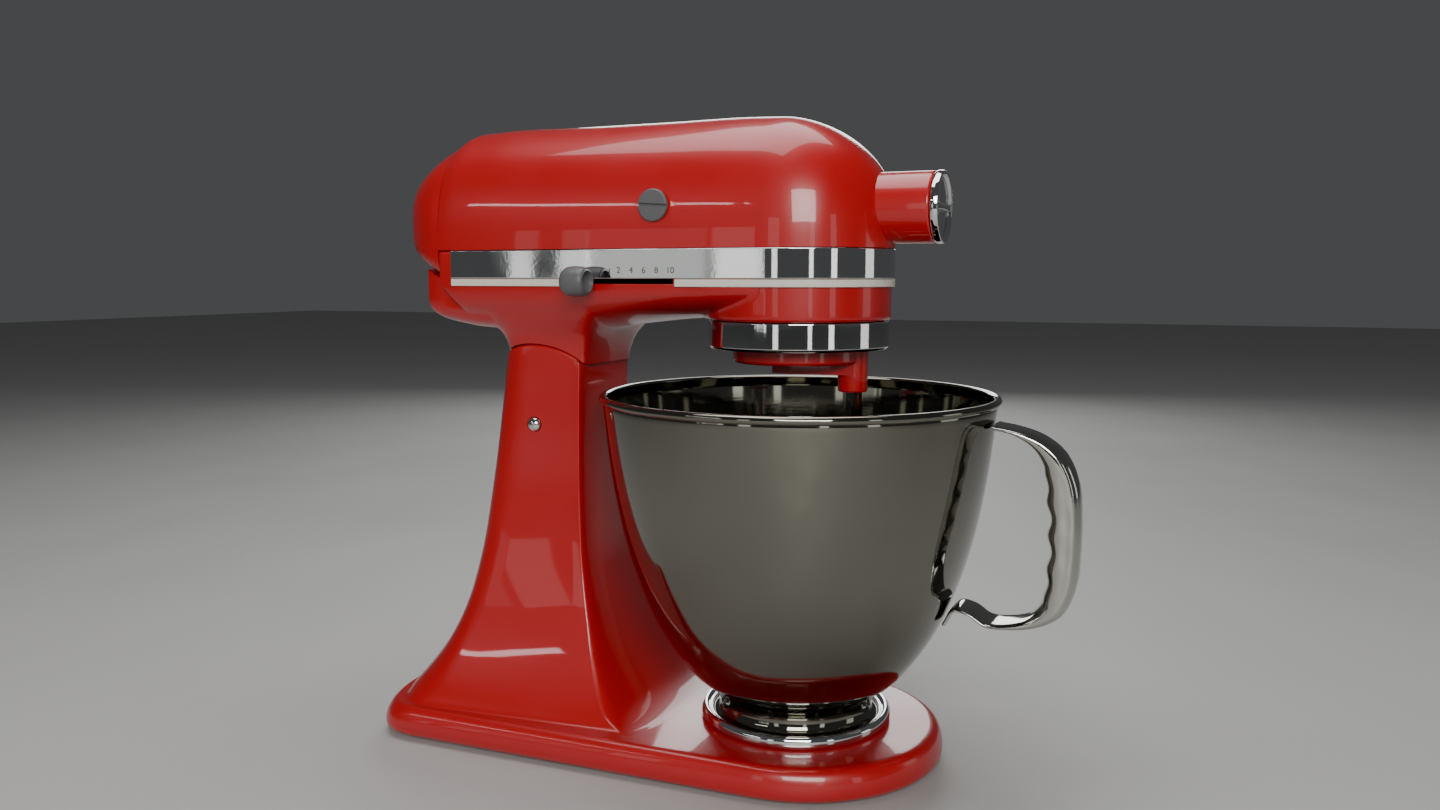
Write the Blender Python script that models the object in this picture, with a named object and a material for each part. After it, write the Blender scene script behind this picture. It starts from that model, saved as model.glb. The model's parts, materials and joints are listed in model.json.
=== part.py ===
"""Tilt-head stand mixer, as an assembly of separate parts.

Metres, +Z up, front (bowl handle and attachment hub) towards -Y, +X the side away from the speed
lever. The origin is on the surface the mixer stands on, under the middle of its overall length.
Shapes are built in machine coordinates, whose Z axis is the bowl's axis; the empty "machine" carries
them all to their place.
"""

import math

import bmesh
import bpy
from mathutils import Matrix, Vector

# ---------------------------------------------------------------- driving dimensions
BOWL_AXIS_Y = -0.0445  # bowl axis, measured from the middle of the overall length
GAP = 0.0003  # gap left between pieces that touch

FOOT_HEIGHT = 0.003
PLATE_TOP = 0.0195  # flat top of the base, under the bowl
FOOT_PLACES = ((0.0, -0.064), (-0.056, 0.0), (0.056, 0.0), (-0.062, 0.190), (0.062, 0.190))

PIN_Y, PIN_Z = 0.151, 0.182  # head hinge pin
PIN_RADIUS = 0.0042
NECK_RADIUS = 0.047  # the column's top is an arc about the hinge pin
RECESS_HALF = 0.026  # half-width of the recess for the head's hinge drum
DRUM_RADIUS = 0.0235

RIM_RADIUS, RIM_Z = 0.110, 0.2041
BOWL_WALL = 0.0015
BOWL_BOTTOM = 0.0362

HEAD_HALF = 0.051  # lower housing, under the trim band
BAND_OUTER = 0.0522
BAND_LOW, BAND_HIGH = 0.0666, 0.0824  # above 0.2
SPLIT_Z = 0.2824  # joint between lower and upper housing
BAND_REAR = 0.1932
COVER_SEAM = 0.2034  # where the rear cover meets the upper housing
HEAD_TOP = 0.3535
SHELL = 0.0038  # wall of the cast housings

GEARCASE_RADIUS, GEARCASE_LOW = 0.0505, 0.2443
GEARCASE_BORE = 0.0456
DRIP_RADIUS, DRIP_LOW = 0.0494, 0.2288

ORBIT = 0.0313  # beater shaft's distance from the bowl axis
PLANET_TEETH, RING_TEETH = 8, 34
PLANET_MODULE = 2 * ORBIT / (RING_TEETH - PLANET_TEETH)

MOTOR_Z = 0.305
PINION_DISTANCE, PINION_ANGLE = 0.0315, math.radians(40)  # from the bowl axis; a centre gear's tooth lies at it
WORM_WHEEL_X = PINION_DISTANCE * math.cos(PINION_ANGLE)
WORM_WHEEL_Y = PINION_DISTANCE * math.sin(PINION_ANGLE)
PINION_TEETH, CENTRE_TEETH = 9, 27
SPUR_MODULE = 2 * PINION_DISTANCE / (PINION_TEETH + CENTRE_TEETH)
BEVEL_TEETH = 14

HUB_Z, HUB_RADIUS, HUB_FACE = 0.3035, 0.0187, -0.0752
BRUSH_Y = 0.0629

LEVER_Y, LEVER_Z = 0.105, 0.2652
LEVER_TRAVEL = 0.050
CORD_INLET = (0.024, 0, 0.2610)

# ---------------------------------------------------------------- materials
COLOURS = {  # base colour, metallic, roughness
    "red_enamel": ((0.42, 0.006, 0.004), 0.0, 0.12),
    "polished_steel": ((0.62, 0.61, 0.58), 1.0, 0.06),
    "chrome": ((0.78, 0.78, 0.78), 1.0, 0.05),
    "cream_stripe": ((0.78, 0.74, 0.64), 0.0, 0.3),
    "grey_plastic": ((0.09, 0.09, 0.09), 0.0, 0.45),
    "black_rubber": ((0.02, 0.02, 0.02), 0.0, 0.8),
    "plain_steel": ((0.45, 0.45, 0.45), 1.0, 0.35),
    "cast_alloy": ((0.5, 0.5, 0.5), 1.0, 0.5),
    "brass": ((0.7, 0.5, 0.2), 1.0, 0.3),
    "copper": ((0.7, 0.25, 0.1), 1.0, 0.35),
    "carbon": ((0.03, 0.03, 0.03), 0.0, 0.6),
    "lamination": ((0.2, 0.2, 0.22), 1.0, 0.5),
    "nylon": ((0.75, 0.73, 0.66), 0.0, 0.5),
    "board": ((0.25, 0.16, 0.08), 0.0, 0.6),
}


def material(name):
    found = bpy.data.materials.get(name)
    if found:
        return found
    colour, metallic, roughness = COLOURS[name]
    made = bpy.data.materials.new(name)
    made.use_nodes = True
    shader = made.node_tree.nodes["Principled BSDF"]
    shader.inputs["Base Color"].default_value = (*colour, 1.0)
    shader.inputs["Metallic"].default_value = metallic
    shader.inputs["Roughness"].default_value = roughness
    return made


# ---------------------------------------------------------------- bodies
# Each body's empty stands on its joint's axis: (parent body, place in machine coordinates).
BODIES = {
    "pedestal": (None, (0, 0, 0)),
    "bowl": ("pedestal", (0, 0, PLATE_TOP)),
    "head": ("pedestal", (0, PIN_Y, PIN_Z)),
    "planetary": ("head", (0, 0, 0.226)),
    "beater": ("planetary", (0, -ORBIT, 0.2)),
    "worm_wheel": ("head", (WORM_WHEEL_X, WORM_WHEEL_Y, MOTOR_Z)),
    "armature": ("head", (0, 0.1, MOTOR_Z)),
    "hub_drive": ("head", (0, -0.05, HUB_Z)),
    "speed_lever": ("head", (-HEAD_HALF, LEVER_Y, LEVER_Z)),
    "head_lock": ("head", (0.034, 0.140, 0.236)),
    "attachment_knob": ("head", (0.02, -0.062, HUB_Z)),
    "hub_cap": ("head", (0, HUB_FACE, HUB_Z)),
}
EMPTIES = {}


def make_bodies():
    machine = bpy.data.objects.new("machine", None)
    machine.location = (0, BOWL_AXIS_Y, 0)
    bpy.context.scene.collection.objects.link(machine)
    for name, (parent, place) in BODIES.items():
        empty = bpy.data.objects.new("body_" + name, None)
        bpy.context.scene.collection.objects.link(empty)
        empty.parent = EMPTIES[parent] if parent else machine
        start = Vector(BODIES[parent][1]) if parent else Vector()
        empty.location = Vector(place) - start
        EMPTIES[name] = empty


# ---------------------------------------------------------------- shape helpers
def turned(profile, steps=32):
    """A solid of revolution about Z from a closed loop of (radius, height) points."""
    bm = bmesh.new()
    rings = []
    for radius, height in profile:
        count = steps if radius > 1e-6 else 1
        angles = [2 * math.pi * i / steps for i in range(count)]
        rings.append([bm.verts.new((radius * math.cos(a), radius * math.sin(a), height)) for a in angles])
    for low, high in zip(rings, rings[1:] + rings[:1]):
        if len(low) == len(high) == 1:
            continue
        for i in range(steps):
            j = (i + 1) % steps
            corners = (low[i % len(low)], low[j % len(low)], high[j % len(high)], high[i % len(high)])
            bm.faces.new(list(dict.fromkeys(corners)))
    return bm


def loft(rings):
    """A closed solid through rings of equally many points, capped at both ends."""
    bm = bmesh.new()
    made = [[bm.verts.new(point) for point in ring] for ring in rings]
    count = len(made[0])
    for low, high in zip(made, made[1:]):
        for i in range(count):
            j = (i + 1) % count
            bm.faces.new((low[i], low[j], high[j], high[i]))
    bm.faces.new(made[0])
    bm.faces.new(made[-1])
    return bm


def prism(outline, low, high, axis="Z"):
    """An outline extruded along an axis: (x, y) for Z, (x, z) for Y, (y, z) for X."""
    order = {"Z": lambda a, b, c: (a, b, c), "Y": lambda a, b, c: (a, c, b), "X": lambda a, b, c: (c, a, b)}
    return loft([[order[axis](a, b, level) for a, b in outline] for level in (low, high)])


def box(low, high):
    (x0, y0, z0), (x1, y1, z1) = low, high
    return prism(((x0, y0), (x1, y0), (x1, y1), (x0, y1)), z0, z1)


def cylinder(radius, low, high, steps=24):
    return turned(((0, low), (radius, low), (radius, high), (0, high)), steps)


def tube(outer, inner, low, high, steps=32):
    return turned(((outer, low), (outer, high), (inner, high), (inner, low)), steps)


def moved(bm, place=(0, 0, 0), axis=(0, 0, 1)):
    """Turn a shape so that its Z points along axis, then carry it to its place."""
    turn = Vector((0, 0, 1)).rotation_difference(Vector(axis)).to_matrix().to_4x4()
    bmesh.ops.transform(bm, matrix=Matrix.Translation(place) @ turn, verts=bm.verts)
    return bm


def arc(centre, radius, start, end, steps):
    """Points on a circle, angles in degrees from the first axis towards the second."""
    points = []
    for i in range(steps + 1):
        angle = math.radians(start + (end - start) * i / steps)
        points.append((centre[0] + radius * math.cos(angle), centre[1] + radius * math.sin(angle)))
    return points


def curve_through(points, steps):
    """A smooth open curve through 2-D points, with that many steps between each pair."""
    vectors = [Vector(p) for p in points]
    ends = [2 * vectors[0] - vectors[1], *vectors, 2 * vectors[-1] - vectors[-2]]
    found = []
    for a, b, c, d in zip(ends, ends[1:], ends[2:], ends[3:]):
        for i in range(steps):
            t = i / steps
            found.append(0.5 * (2 * b + (c - a) * t + (2 * a - 5 * b + 4 * c - d) * t**2
                                + (3 * b - a - 3 * c + d) * t**3))
    return [*found, vectors[-1]]


def rounded_power(angle, power):
    """Sine and cosine on a superellipse's quarter, with 2 an ellipse and more a squarer corner."""
    return math.sin(angle) ** (2 / power), math.cos(angle) ** (2 / power)


def gear_outline(teeth, module, turn=0.0, addendum=0.75, dedendum=1.05, thickness=0.40):
    """A gear's outline with straight-sided teeth, the first at the angle turn.

    Addendum and dedendum are in modules, and thickness is a share of the pitch.
    """
    pitch_radius = teeth * module / 2
    points = []
    for tooth in range(teeth):
        middle = 2 * math.pi * tooth / teeth + turn
        half = math.pi / teeth * thickness
        for radius, angle in (
            (pitch_radius - dedendum * module, -half * 1.45),
            (pitch_radius + addendum * module, -half * 0.55),
            (pitch_radius + addendum * module, half * 0.55),
            (pitch_radius - dedendum * module, half * 1.45),
        ):
            points.append((radius * math.cos(middle + angle), radius * math.sin(middle + angle)))
    return points


# ---------------------------------------------------------------- nodes
def make_object(name, bm, body):
    bmesh.ops.recalc_face_normals(bm, faces=bm.faces)
    bmesh.ops.translate(bm, vec=-Vector(BODIES[body][1]), verts=bm.verts)
    mesh = bpy.data.meshes.new(name)
    bm.to_mesh(mesh)
    bm.free()
    made = bpy.data.objects.new(name, mesh)
    made.parent = EMPTIES[body]
    bpy.context.scene.collection.objects.link(made)
    return made


def node(name, bm, slot, body, smooth=True):
    """One piece of the mixer, with its origin on its body's joint axis."""
    made = make_object(name, bm, body)
    made.data.materials.append(material(slot))
    if smooth:
        made.data.shade_smooth()
        made.data.set_sharp_from_angle(angle=math.radians(35))
    made["body"] = body
    return made


def combine(piece, bm, operation):
    helper = make_object("helper_" + piece.name, bm, piece["body"])
    helper.hide_render = True
    helper.display_type = "WIRE"
    boolean = piece.modifiers.new(operation.lower(), "BOOLEAN")
    boolean.operation = operation
    boolean.object = helper
    boolean.solver = "EXACT"


def cut(piece, *shapes):
    for bm in shapes:
        combine(piece, bm, "DIFFERENCE")


def join(piece, *shapes):
    for bm in shapes:
        combine(piece, bm, "UNION")


# ---------------------------------------------------------------- pedestal
QUARTER = 5  # steps in each rounded quarter of a horizontal outline

# Horizontal outlines of the pedestal, bottom to top: height, then front y, start of the side y,
# half-width there, squareness of the front, half-width at the rear corner, its y, rear y.
PEDESTAL_OUTLINES = (
    (0.0030, -0.0815, 0.000, 0.0770, 2.0, 0.0845, 0.203, 0.2395),
    (0.0052, -0.0830, 0.000, 0.0786, 2.0, 0.0866, 0.205, 0.2420),
    (0.0120, -0.0828, 0.000, 0.0784, 2.0, 0.0864, 0.205, 0.2416),
    (0.0170, -0.0812, 0.002, 0.0768, 2.0, 0.0842, 0.203, 0.2392),
    (0.0195, -0.0770, 0.004, 0.0728, 2.0, 0.0812, 0.200, 0.2362),
    (0.0195, 0.0620, 0.074, 0.0680, 2.1, 0.0788, 0.198, 0.2340),
    (0.0250, 0.0790, 0.090, 0.0640, 2.3, 0.0742, 0.195, 0.2295),
    (0.0340, 0.0890, 0.098, 0.0590, 2.8, 0.0680, 0.190, 0.2225),
    (0.0480, 0.0985, 0.1055, 0.0522, 3.4, 0.0602, 0.184, 0.2125),
    (0.0700, 0.1080, 0.1135, 0.0440, 4.2, 0.0510, 0.178, 0.2022),
    (0.1000, 0.1165, 0.1210, 0.0368, 5.5, 0.0430, 0.172, 0.1948),
    (0.1400, 0.1212, 0.1250, 0.0320, 7.0, 0.0372, 0.166, 0.1888),
    (0.1850, 0.1222, 0.1258, 0.0300, 8.0, 0.0346, 0.160, 0.1822),
    (0.2400, 0.1215, 0.1250, 0.0290, 8.0, 0.0336, 0.154, 0.1742),
)
REAR_SQUARENESS = 3.0


def pedestal_outline(front, side_start, half, squareness, rear_half, rear_corner, rear, inset=0.0):
    """One closed horizontal outline, from the front centre round by +X to the rear and back."""
    front, half = front + inset, half - inset
    rear, rear_half = rear - inset, rear_half - inset
    right = []
    for i in range(QUARTER + 1):
        across, along = rounded_power(math.pi / 2 * i / QUARTER, squareness)
        right.append((half * across, side_start + (front - side_start) * along))
    for i in range(QUARTER + 1):
        along, across = rounded_power(math.pi / 2 * i / QUARTER, REAR_SQUARENESS)
        right.append((rear_half * across, rear_corner + (rear - rear_corner) * along))
    left = [(-x, y) for x, y in reversed(right[1:-1])]
    return right + left


def pedestal_solid(outlines, inset=0.0):
    return loft([[(x, y, z) for x, y in pedestal_outline(*rest, inset)] for z, *rest in outlines])


def make_pedestal():
    wall = 0.0045
    piece = node("pedestal", pedestal_solid(PEDESTAL_OUTLINES), "red_enamel", "pedestal")
    roof = PLATE_TOP - wall
    base_hollow = [(-0.002, *PEDESTAL_OUTLINES[3][1:]), (roof, *PEDESTAL_OUTLINES[3][1:])]
    column_hollow = [(z - wall, *rest) for z, *rest in PEDESTAL_OUTLINES[5:11]]
    ceiling = (0.146, *PEDESTAL_OUTLINES[11][1:])
    cut(piece, pedestal_solid([*base_hollow, *column_hollow, ceiling], wall))
    above = arc((PIN_Y, PIN_Z), NECK_RADIUS, 5, 175, 24)
    cut(piece, prism([*above, (0.05, 0.19), (0.05, 0.27), (0.25, 0.27), (0.25, 0.19)], -0.06, 0.06, "X"))
    floor = arc((PIN_Y, PIN_Z), DRUM_RADIUS + 0.001, 190, 330, 14)
    recess = [*floor, (0.2000, 0.1940), (0.20, 0.27), (0.1270, 0.27)]
    cut(piece, prism(recess, -RECESS_HALF, RECESS_HALF, "X"))
    lug = box((-0.008, 0.1255, 0.201), (0.008, 0.1325, 0.2135))
    join(piece, lug)
    cut(piece, moved(cylinder(0.0043, 0.1225, 0.14, 16), (0, 0, 0.2075), (0, 1, 0)))
    cut(piece, moved(cylinder(PIN_RADIUS + GAP, -0.05, 0.05), (0, PIN_Y, PIN_Z), (1, 0, 0)))
    cut(piece, moved(cylinder(0.0033, 0.152, 0.18, 12), (0, 0.137, 0)))
    for x, y in FOOT_PLACES:
        join(piece, moved(cylinder(0.0085, FOOT_HEIGHT, 0.0178 if y < 0.1 else 0.026, 16), (x, y, 0)))
    for x, y in FOOT_PLACES:
        cut(piece, moved(cylinder(0.0033, -0.001, 0.0125, 12), (x, y, 0)))
    for x, y in clamp_screw_places():
        cut(piece, moved(cylinder(0.0023, 0.005, 0.03, 12), (x, y, 0)))


def make_feet():
    profile = ((0, 0), (0.0085, 0), (0.0095, 0.001), (0.0095, 0.0027), (0.003, 0.0027), (0.003, 0.012),
               (0, 0.012))
    for number, (x, y) in enumerate(FOOT_PLACES, 1):
        node(f"rubber_foot_{number}", moved(turned(profile, 12), (x, y, 0)), "black_rubber", "pedestal")


def clamp_screw_places():
    angles = (97, 217, 337)
    return [(0.030 * math.cos(math.radians(a)), 0.030 * math.sin(math.radians(a))) for a in angles]


def make_clamp():
    low = PLATE_TOP + GAP
    profile = ((0.018, low), (0.0530, low), (0.0537, low + 0.0020), (0.0533, low + 0.0052),
               (0.0515, low + 0.0070), (0.0498, low + 0.0062), (0.0490, low + 0.0045),
               (0.0478, low + 0.0050), (0.0470, low + 0.0040), (0.0468, low + 0.0015), (0.018, low + 0.0015))
    plate = node("bowl_clamp_plate", turned(profile, 32), "chrome", "pedestal")
    screw = ((0, 0.008), (0.002, 0.008), (0.002, 0.0216), (0.004, 0.0216), (0.0035, 0.0232), (0, 0.0236))
    for number, (x, y) in enumerate(clamp_screw_places(), 1):
        cut(plate, moved(cylinder(0.0023, 0.01, 0.03, 12), (x, y, 0)))
        node(f"clamp_screw_{number}", moved(turned(screw, 12), (x, y, 0)), "plain_steel", "pedestal")


def make_hinge():
    end = 0.0352
    profile = ((0, -end - 0.001), (0.0030, -end), (PIN_RADIUS, -end + 0.001),
               (PIN_RADIUS, end - 0.001), (0.0030, end), (0, end + 0.001))
    node("hinge_pin", moved(turned(profile, 16), (0, PIN_Y, PIN_Z), (1, 0, 0)), "chrome", "pedestal")
    screw = ((0, 0.1530), (0.003, 0.1530), (0.003, 0.1680), (0.0045, 0.1680), (0.0045, 0.1705), (0, 0.1705))
    node("height_screw", moved(turned(screw, 12), (0, 0.137, 0)), "plain_steel", "pedestal")


# ---------------------------------------------------------------- bowl
BOWL_CURVE = (  # outer radius and height, from the bottom's edge to just under the rim
    (0.0440, 0.0366), (0.0555, 0.0440), (0.0680, 0.0585), (0.0790, 0.0760), (0.0885, 0.0980),
    (0.0965, 0.1240), (0.1022, 0.1520), (0.1060, 0.1800), (0.1078, 0.1985),
)


def make_bowl():
    outer = [(p.x, p.y) for p in curve_through(BOWL_CURVE, 1)]
    inner = [(r - BOWL_WALL, z + 0.0005) for r, z in reversed(outer)]
    rim = arc((RIM_RADIUS - 0.0022, RIM_Z - 0.0022), 0.0022, -120, 120, 4)
    profile = [(0, BOWL_BOTTOM), (0.0400, BOWL_BOTTOM), *outer, *rim, *inner,
               (0.0400, BOWL_BOTTOM + BOWL_WALL), (0, BOWL_BOTTOM + BOWL_WALL)]
    node("bowl", turned(profile, 36), "polished_steel", "bowl")
    top = BOWL_BOTTOM - GAP
    foot = ((0.0415, top), (0.0408, 0.0320), (0.0412, 0.0280), (0.0430, 0.0248), (0.0462, 0.0236),
            (0.0462, 0.0220), (0.0420, 0.0220), (0.0396, 0.0265), (0.0390, 0.0320), (0.0380, top))
    node("bowl_foot", turned(foot, 32), "polished_steel", "bowl")


HANDLE_PATH = (  # y, z, half thickness, half width along the middle of the handle
    (-0.1086, 0.1913, 0.0014, 0.0130), (-0.1200, 0.1890, 0.0020, 0.0125), (-0.1310, 0.1838, 0.0040, 0.0118),
    (-0.1385, 0.1760, 0.0062, 0.0112), (-0.1430, 0.1630, 0.0080, 0.0108), (-0.1450, 0.1450, 0.0080, 0.0108),
    (-0.1452, 0.1270, 0.0078, 0.0108), (-0.1442, 0.1120, 0.0076, 0.0108), (-0.1400, 0.0985, 0.0062, 0.0108),
    (-0.1310, 0.0910, 0.0036, 0.0110), (-0.1190, 0.0877, 0.0020, 0.0114), (-0.1075, 0.0875, 0.0016, 0.0118),
    (-0.0985, 0.0925, 0.0014, 0.0120), (-0.0915, 0.0935, 0.0013, 0.0120), (-0.0858, 0.0850, 0.0012, 0.0120),
)


def make_handle():
    path = curve_through(HANDLE_PATH, 2)
    rings = []
    for i, point in enumerate(path):
        ahead = path[min(i + 1, len(path) - 1)] - path[max(i - 1, 0)]
        across = Vector((ahead[1], -ahead[0])).normalized()
        thick, wide = point[2], point[3]
        ring = []
        for k in range(8):
            angle = math.radians(45 * k + 22.5)
            side = math.copysign(abs(math.cos(angle)) ** 0.6, math.cos(angle)) * wide / 0.95
            out = math.copysign(abs(math.sin(angle)) ** 0.6, math.sin(angle)) * thick / 0.95
            ring.append((side, point[0] + across.x * out, point[1] + across.y * out))
        rings.append(ring)
    node("bowl_handle", loft(rings), "polished_steel", "bowl")


# ---------------------------------------------------------------- head housings
# Pan under the head, front to rear: y, half-width, lowest z.
PAN_SECTIONS = (
    (-0.030, 0.036, 0.2480), (0.000, 0.0498, 0.2460), (0.0500, 0.0507, 0.2447), (0.0580, HEAD_HALF, 0.2442),
    (0.070, HEAD_HALF, 0.2432), (0.095, HEAD_HALF, 0.2404), (0.130, HEAD_HALF, 0.2366),
    (0.165, HEAD_HALF, 0.2362), (0.192, HEAD_HALF, 0.2380), (0.2035, 0.0505, 0.2400),
)
# Narrower box behind the pan, front to rear, in the same numbers.
CHIN_HALF = 0.0430
CHIN_SECTIONS = (
    (0.160, CHIN_HALF, 0.2362), (0.200, CHIN_HALF, 0.2392), (0.214, 0.0428, 0.2428), (0.2185, 0.0415, 0.2455),
)
PAN_SHOULDER = 0.2625  # below this the pan's sides curve under
PAN_SQUARENESS, CHIN_SQUARENESS = 2.3, 5.0
# Sloped deck under the rear cover and slanted end of the pan's sides, as (y, z) lines.
DECK = ((COVER_SEAM - 0.0006, 0.2645), (0.25, 0.2872))
PAN_END = ((0.1780, 0.2340), (0.1780, 0.2200), (0.2500, 0.2200))

# Neck, bottom to top: z, then as for the pedestal's outlines.
NECK_OUTLINES = (
    (0.2050, 0.1205, 0.1245, 0.0285, 8.0, 0.0336, 0.153, 0.1755),
    (0.2260, 0.1180, 0.1225, 0.0292, 6.0, 0.0340, 0.154, 0.1760),
    (0.2330, 0.1150, 0.1205, 0.0322, 4.6, 0.0358, 0.155, 0.1785),
    (0.2390, 0.1100, 0.1180, 0.0368, 3.8, 0.0395, 0.157, 0.1830),
    (0.2450, 0.1030, 0.1140, 0.0420, 3.2, 0.0438, 0.159, 0.1885),
    (0.2520, 0.0940, 0.1080, 0.0468, 2.8, 0.0476, 0.162, 0.1950),
    (0.2600, 0.0850, 0.1000, 0.0502, 2.6, 0.0504, 0.165, 0.2030),
)


def pan_section(y, half, low, inset=0.0, top=SPLIT_Z, squareness=PAN_SQUARENESS):
    """Section across the pan: upright sides above its shoulder, rounded below."""
    half, low = half - inset, low + inset
    under = []
    steps = 8
    for i in range(steps + 1):
        angle = math.pi * i / steps
        down, _ = rounded_power(min(angle, math.pi - angle), squareness)
        across = math.copysign(abs(math.cos(angle)) ** (2 / squareness), math.cos(angle))
        under.append((half * across, y, PAN_SHOULDER - (PAN_SHOULDER - low) * down))
    return [(half, y, top), *under, (-half, y, top)]


def pan_hollows():
    """The pan's inside: full width in front, narrower in the box behind, roofed by a deck behind the seam."""
    front = (*PAN_SECTIONS[:-2], (0.1720, HEAD_HALF, 0.2364))
    middle = ((0.1680, CHIN_HALF, 0.2378), (0.1995, CHIN_HALF, 0.2398))
    return (loft([pan_section(*section, SHELL, SPLIT_Z + 0.003) for section in front]),
            loft([pan_section(*section, SHELL, SPLIT_Z + 0.003, CHIN_SQUARENESS) for section in middle]),
            box((-0.0370, 0.1950, 0.2480), (0.0370, 0.2140, 0.2605)))


def make_lower_housing():
    piece = node("lower_housing", loft([[(x, y, z) for x, y in pedestal_outline(*rest)]
                                        for z, *rest in NECK_OUTLINES]), "red_enamel", "head")
    cut(piece, moved(cylinder(NECK_RADIUS + GAP, -0.06, 0.06, 64), (0, PIN_Y, PIN_Z), (1, 0, 0)))
    join(piece, loft([pan_section(*section) for section in PAN_SECTIONS]))
    for low, high in ((-0.06, -CHIN_HALF), (CHIN_HALF, 0.06)):
        cut(piece, prism([*PAN_END, *reversed(DECK)], low, high, "X"))
    join(piece, loft([pan_section(*section, squareness=CHIN_SQUARENESS) for section in CHIN_SECTIONS]))
    join(piece, cylinder(GEARCASE_RADIUS, GEARCASE_LOW, SPLIT_Z, 40))
    cut(piece, *pan_hollows())
    cut(piece, cylinder(GEARCASE_BORE, 0.20, 0.30, 32))
    front, rear = arc((PIN_Y, PIN_Z), 0.0125, 180, 300, 8), arc((PIN_Y, PIN_Z), DRUM_RADIUS, 306, 375, 7)
    drum = [*front, *rear, (0.1715, 0.2235), (0.168, 0.238), (0.1365, 0.238)]
    join(piece, prism(drum, -RECESS_HALF + 0.001, RECESS_HALF - 0.001, "X"))
    cut(piece, box((-0.016, 0.1395, 0.2010), (0.016, 0.162, 0.30)))
    cut(piece, moved(cylinder(0.0045, 0.13, 0.15, 16), (0, 0, 0.2075), (0, 1, 0)))
    cut(piece, box((-0.006, 0.1345, 0.2330), (0.06, 0.1460, 0.2390)))
    cut(piece, moved(cylinder(PIN_RADIUS + GAP, -0.05, 0.05), (0, PIN_Y, PIN_Z), (1, 0, 0)))
    cut(piece, prism([*DECK, (0.25, 0.31), (COVER_SEAM - 0.0006, 0.31)], -0.06, 0.06, "X"))
    slot_front = LEVER_Y - LEVER_TRAVEL - 0.003
    cut(piece, box((-0.06, slot_front, LEVER_Z - 0.0014), (-0.04, LEVER_Y + 0.003, LEVER_Z + 0.0014)))
    cut(piece, moved(cylinder(0.0062, 0.205, 0.23, 20), CORD_INLET, (0, 1, 0)))


# Upper housing, rear to front: y, half-width, top z.
UPPER_SECTIONS = (
    (COVER_SEAM, 0.0500, 0.3490), (0.1975, 0.0506, 0.3522), (0.185, 0.0512, 0.3534), (0.130, 0.0518, HEAD_TOP),
    (0.070, 0.0518, HEAD_TOP), (0.014, 0.0518, 0.3533), (-0.001, 0.0516, 0.3523), (-0.015, 0.0495, 0.3482),
    (-0.027, 0.0443, 0.3418), (-0.037, 0.0363, 0.3336), (-0.0445, 0.0268, 0.3245), (-0.0495, 0.0158, 0.3140),
    (-0.0516, 0.0060, 0.3040),
)
UPPER_SQUARENESS = 2.5


def dome_section(y, half, top, low=SPLIT_Z + GAP, steps=12):
    """Section across the head above the trim band."""
    points = []
    for i in range(steps + 1):
        angle = math.pi * i / steps
        up, _ = rounded_power(min(angle, math.pi - angle), UPPER_SQUARENESS)
        across = math.copysign(abs(math.cos(angle)) ** (2 / UPPER_SQUARENESS), math.cos(angle))
        points.append((half * across, y, low + (top - low) * up))
    return points


def make_upper_housing():
    piece = node("upper_housing", loft([dome_section(*s) for s in UPPER_SECTIONS]), "red_enamel", "head")
    join(piece, moved(cylinder(HUB_RADIUS, 0.028, -HUB_FACE, 32), (0, 0, HUB_Z), (0, -1, 0)))
    hollow = [(COVER_SEAM + 0.01, 0.0500 - SHELL, 0.3490 - SHELL)]
    hollow += [(y, half - SHELL, top - SHELL) for y, half, top in UPPER_SECTIONS[1:-3]]
    cut(piece, loft([dome_section(*s, SPLIT_Z - 0.004) for s in hollow]))
    cut(piece, moved(cylinder(0.0152, 0.02, 0.09, 24), (0, 0, HUB_Z), (0, -1, 0)))
    for side in (-1, 1):
        cut(piece, moved(cylinder(0.0079, 0.03, 0.06, 20), (0, BRUSH_Y, MOTOR_Z), (side, 0, 0)))
    cut(piece, moved(cylinder(0.0033, 0.005, 0.03, 12), (0, -0.062, HUB_Z), (1, 0, 0)))


# Rear cover, front to rear: y, half-width, lowest z, z where it is widest, highest z.
REAR_SECTIONS = (
    (COVER_SEAM + GAP, 0.0497, 0.2653, 0.2850, 0.3480), (0.2110, 0.0487, 0.2690, 0.2885, 0.3445),
    (0.2200, 0.0456, 0.2734, 0.2935, 0.3390), (0.2290, 0.0396, 0.2779, 0.2985, 0.3317),
    (0.2355, 0.0316, 0.2814, 0.3010, 0.3243), (0.2395, 0.0222, 0.2860, 0.3010, 0.3162),
    (0.2420, 0.0100, 0.2935, 0.3005, 0.3070),
)


COVER_SQUARENESS = 5.0  # of the rear cover's lower half


def oval_section(y, half, low, widest, high, steps=20):
    """Section across the rear cover, rounded above and below its widest place."""
    points = []
    for i in range(steps):
        angle = 2 * math.pi * i / steps
        squareness = UPPER_SQUARENESS if i <= steps / 2 else COVER_SQUARENESS
        across = math.copysign(abs(math.cos(angle)) ** (2 / squareness), math.cos(angle))
        up, _ = rounded_power(angle % math.pi, squareness)
        z = widest + (high - widest) * up if i <= steps / 2 else widest - (widest - low) * up
        points.append((half * across, y, z))
    return points


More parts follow.
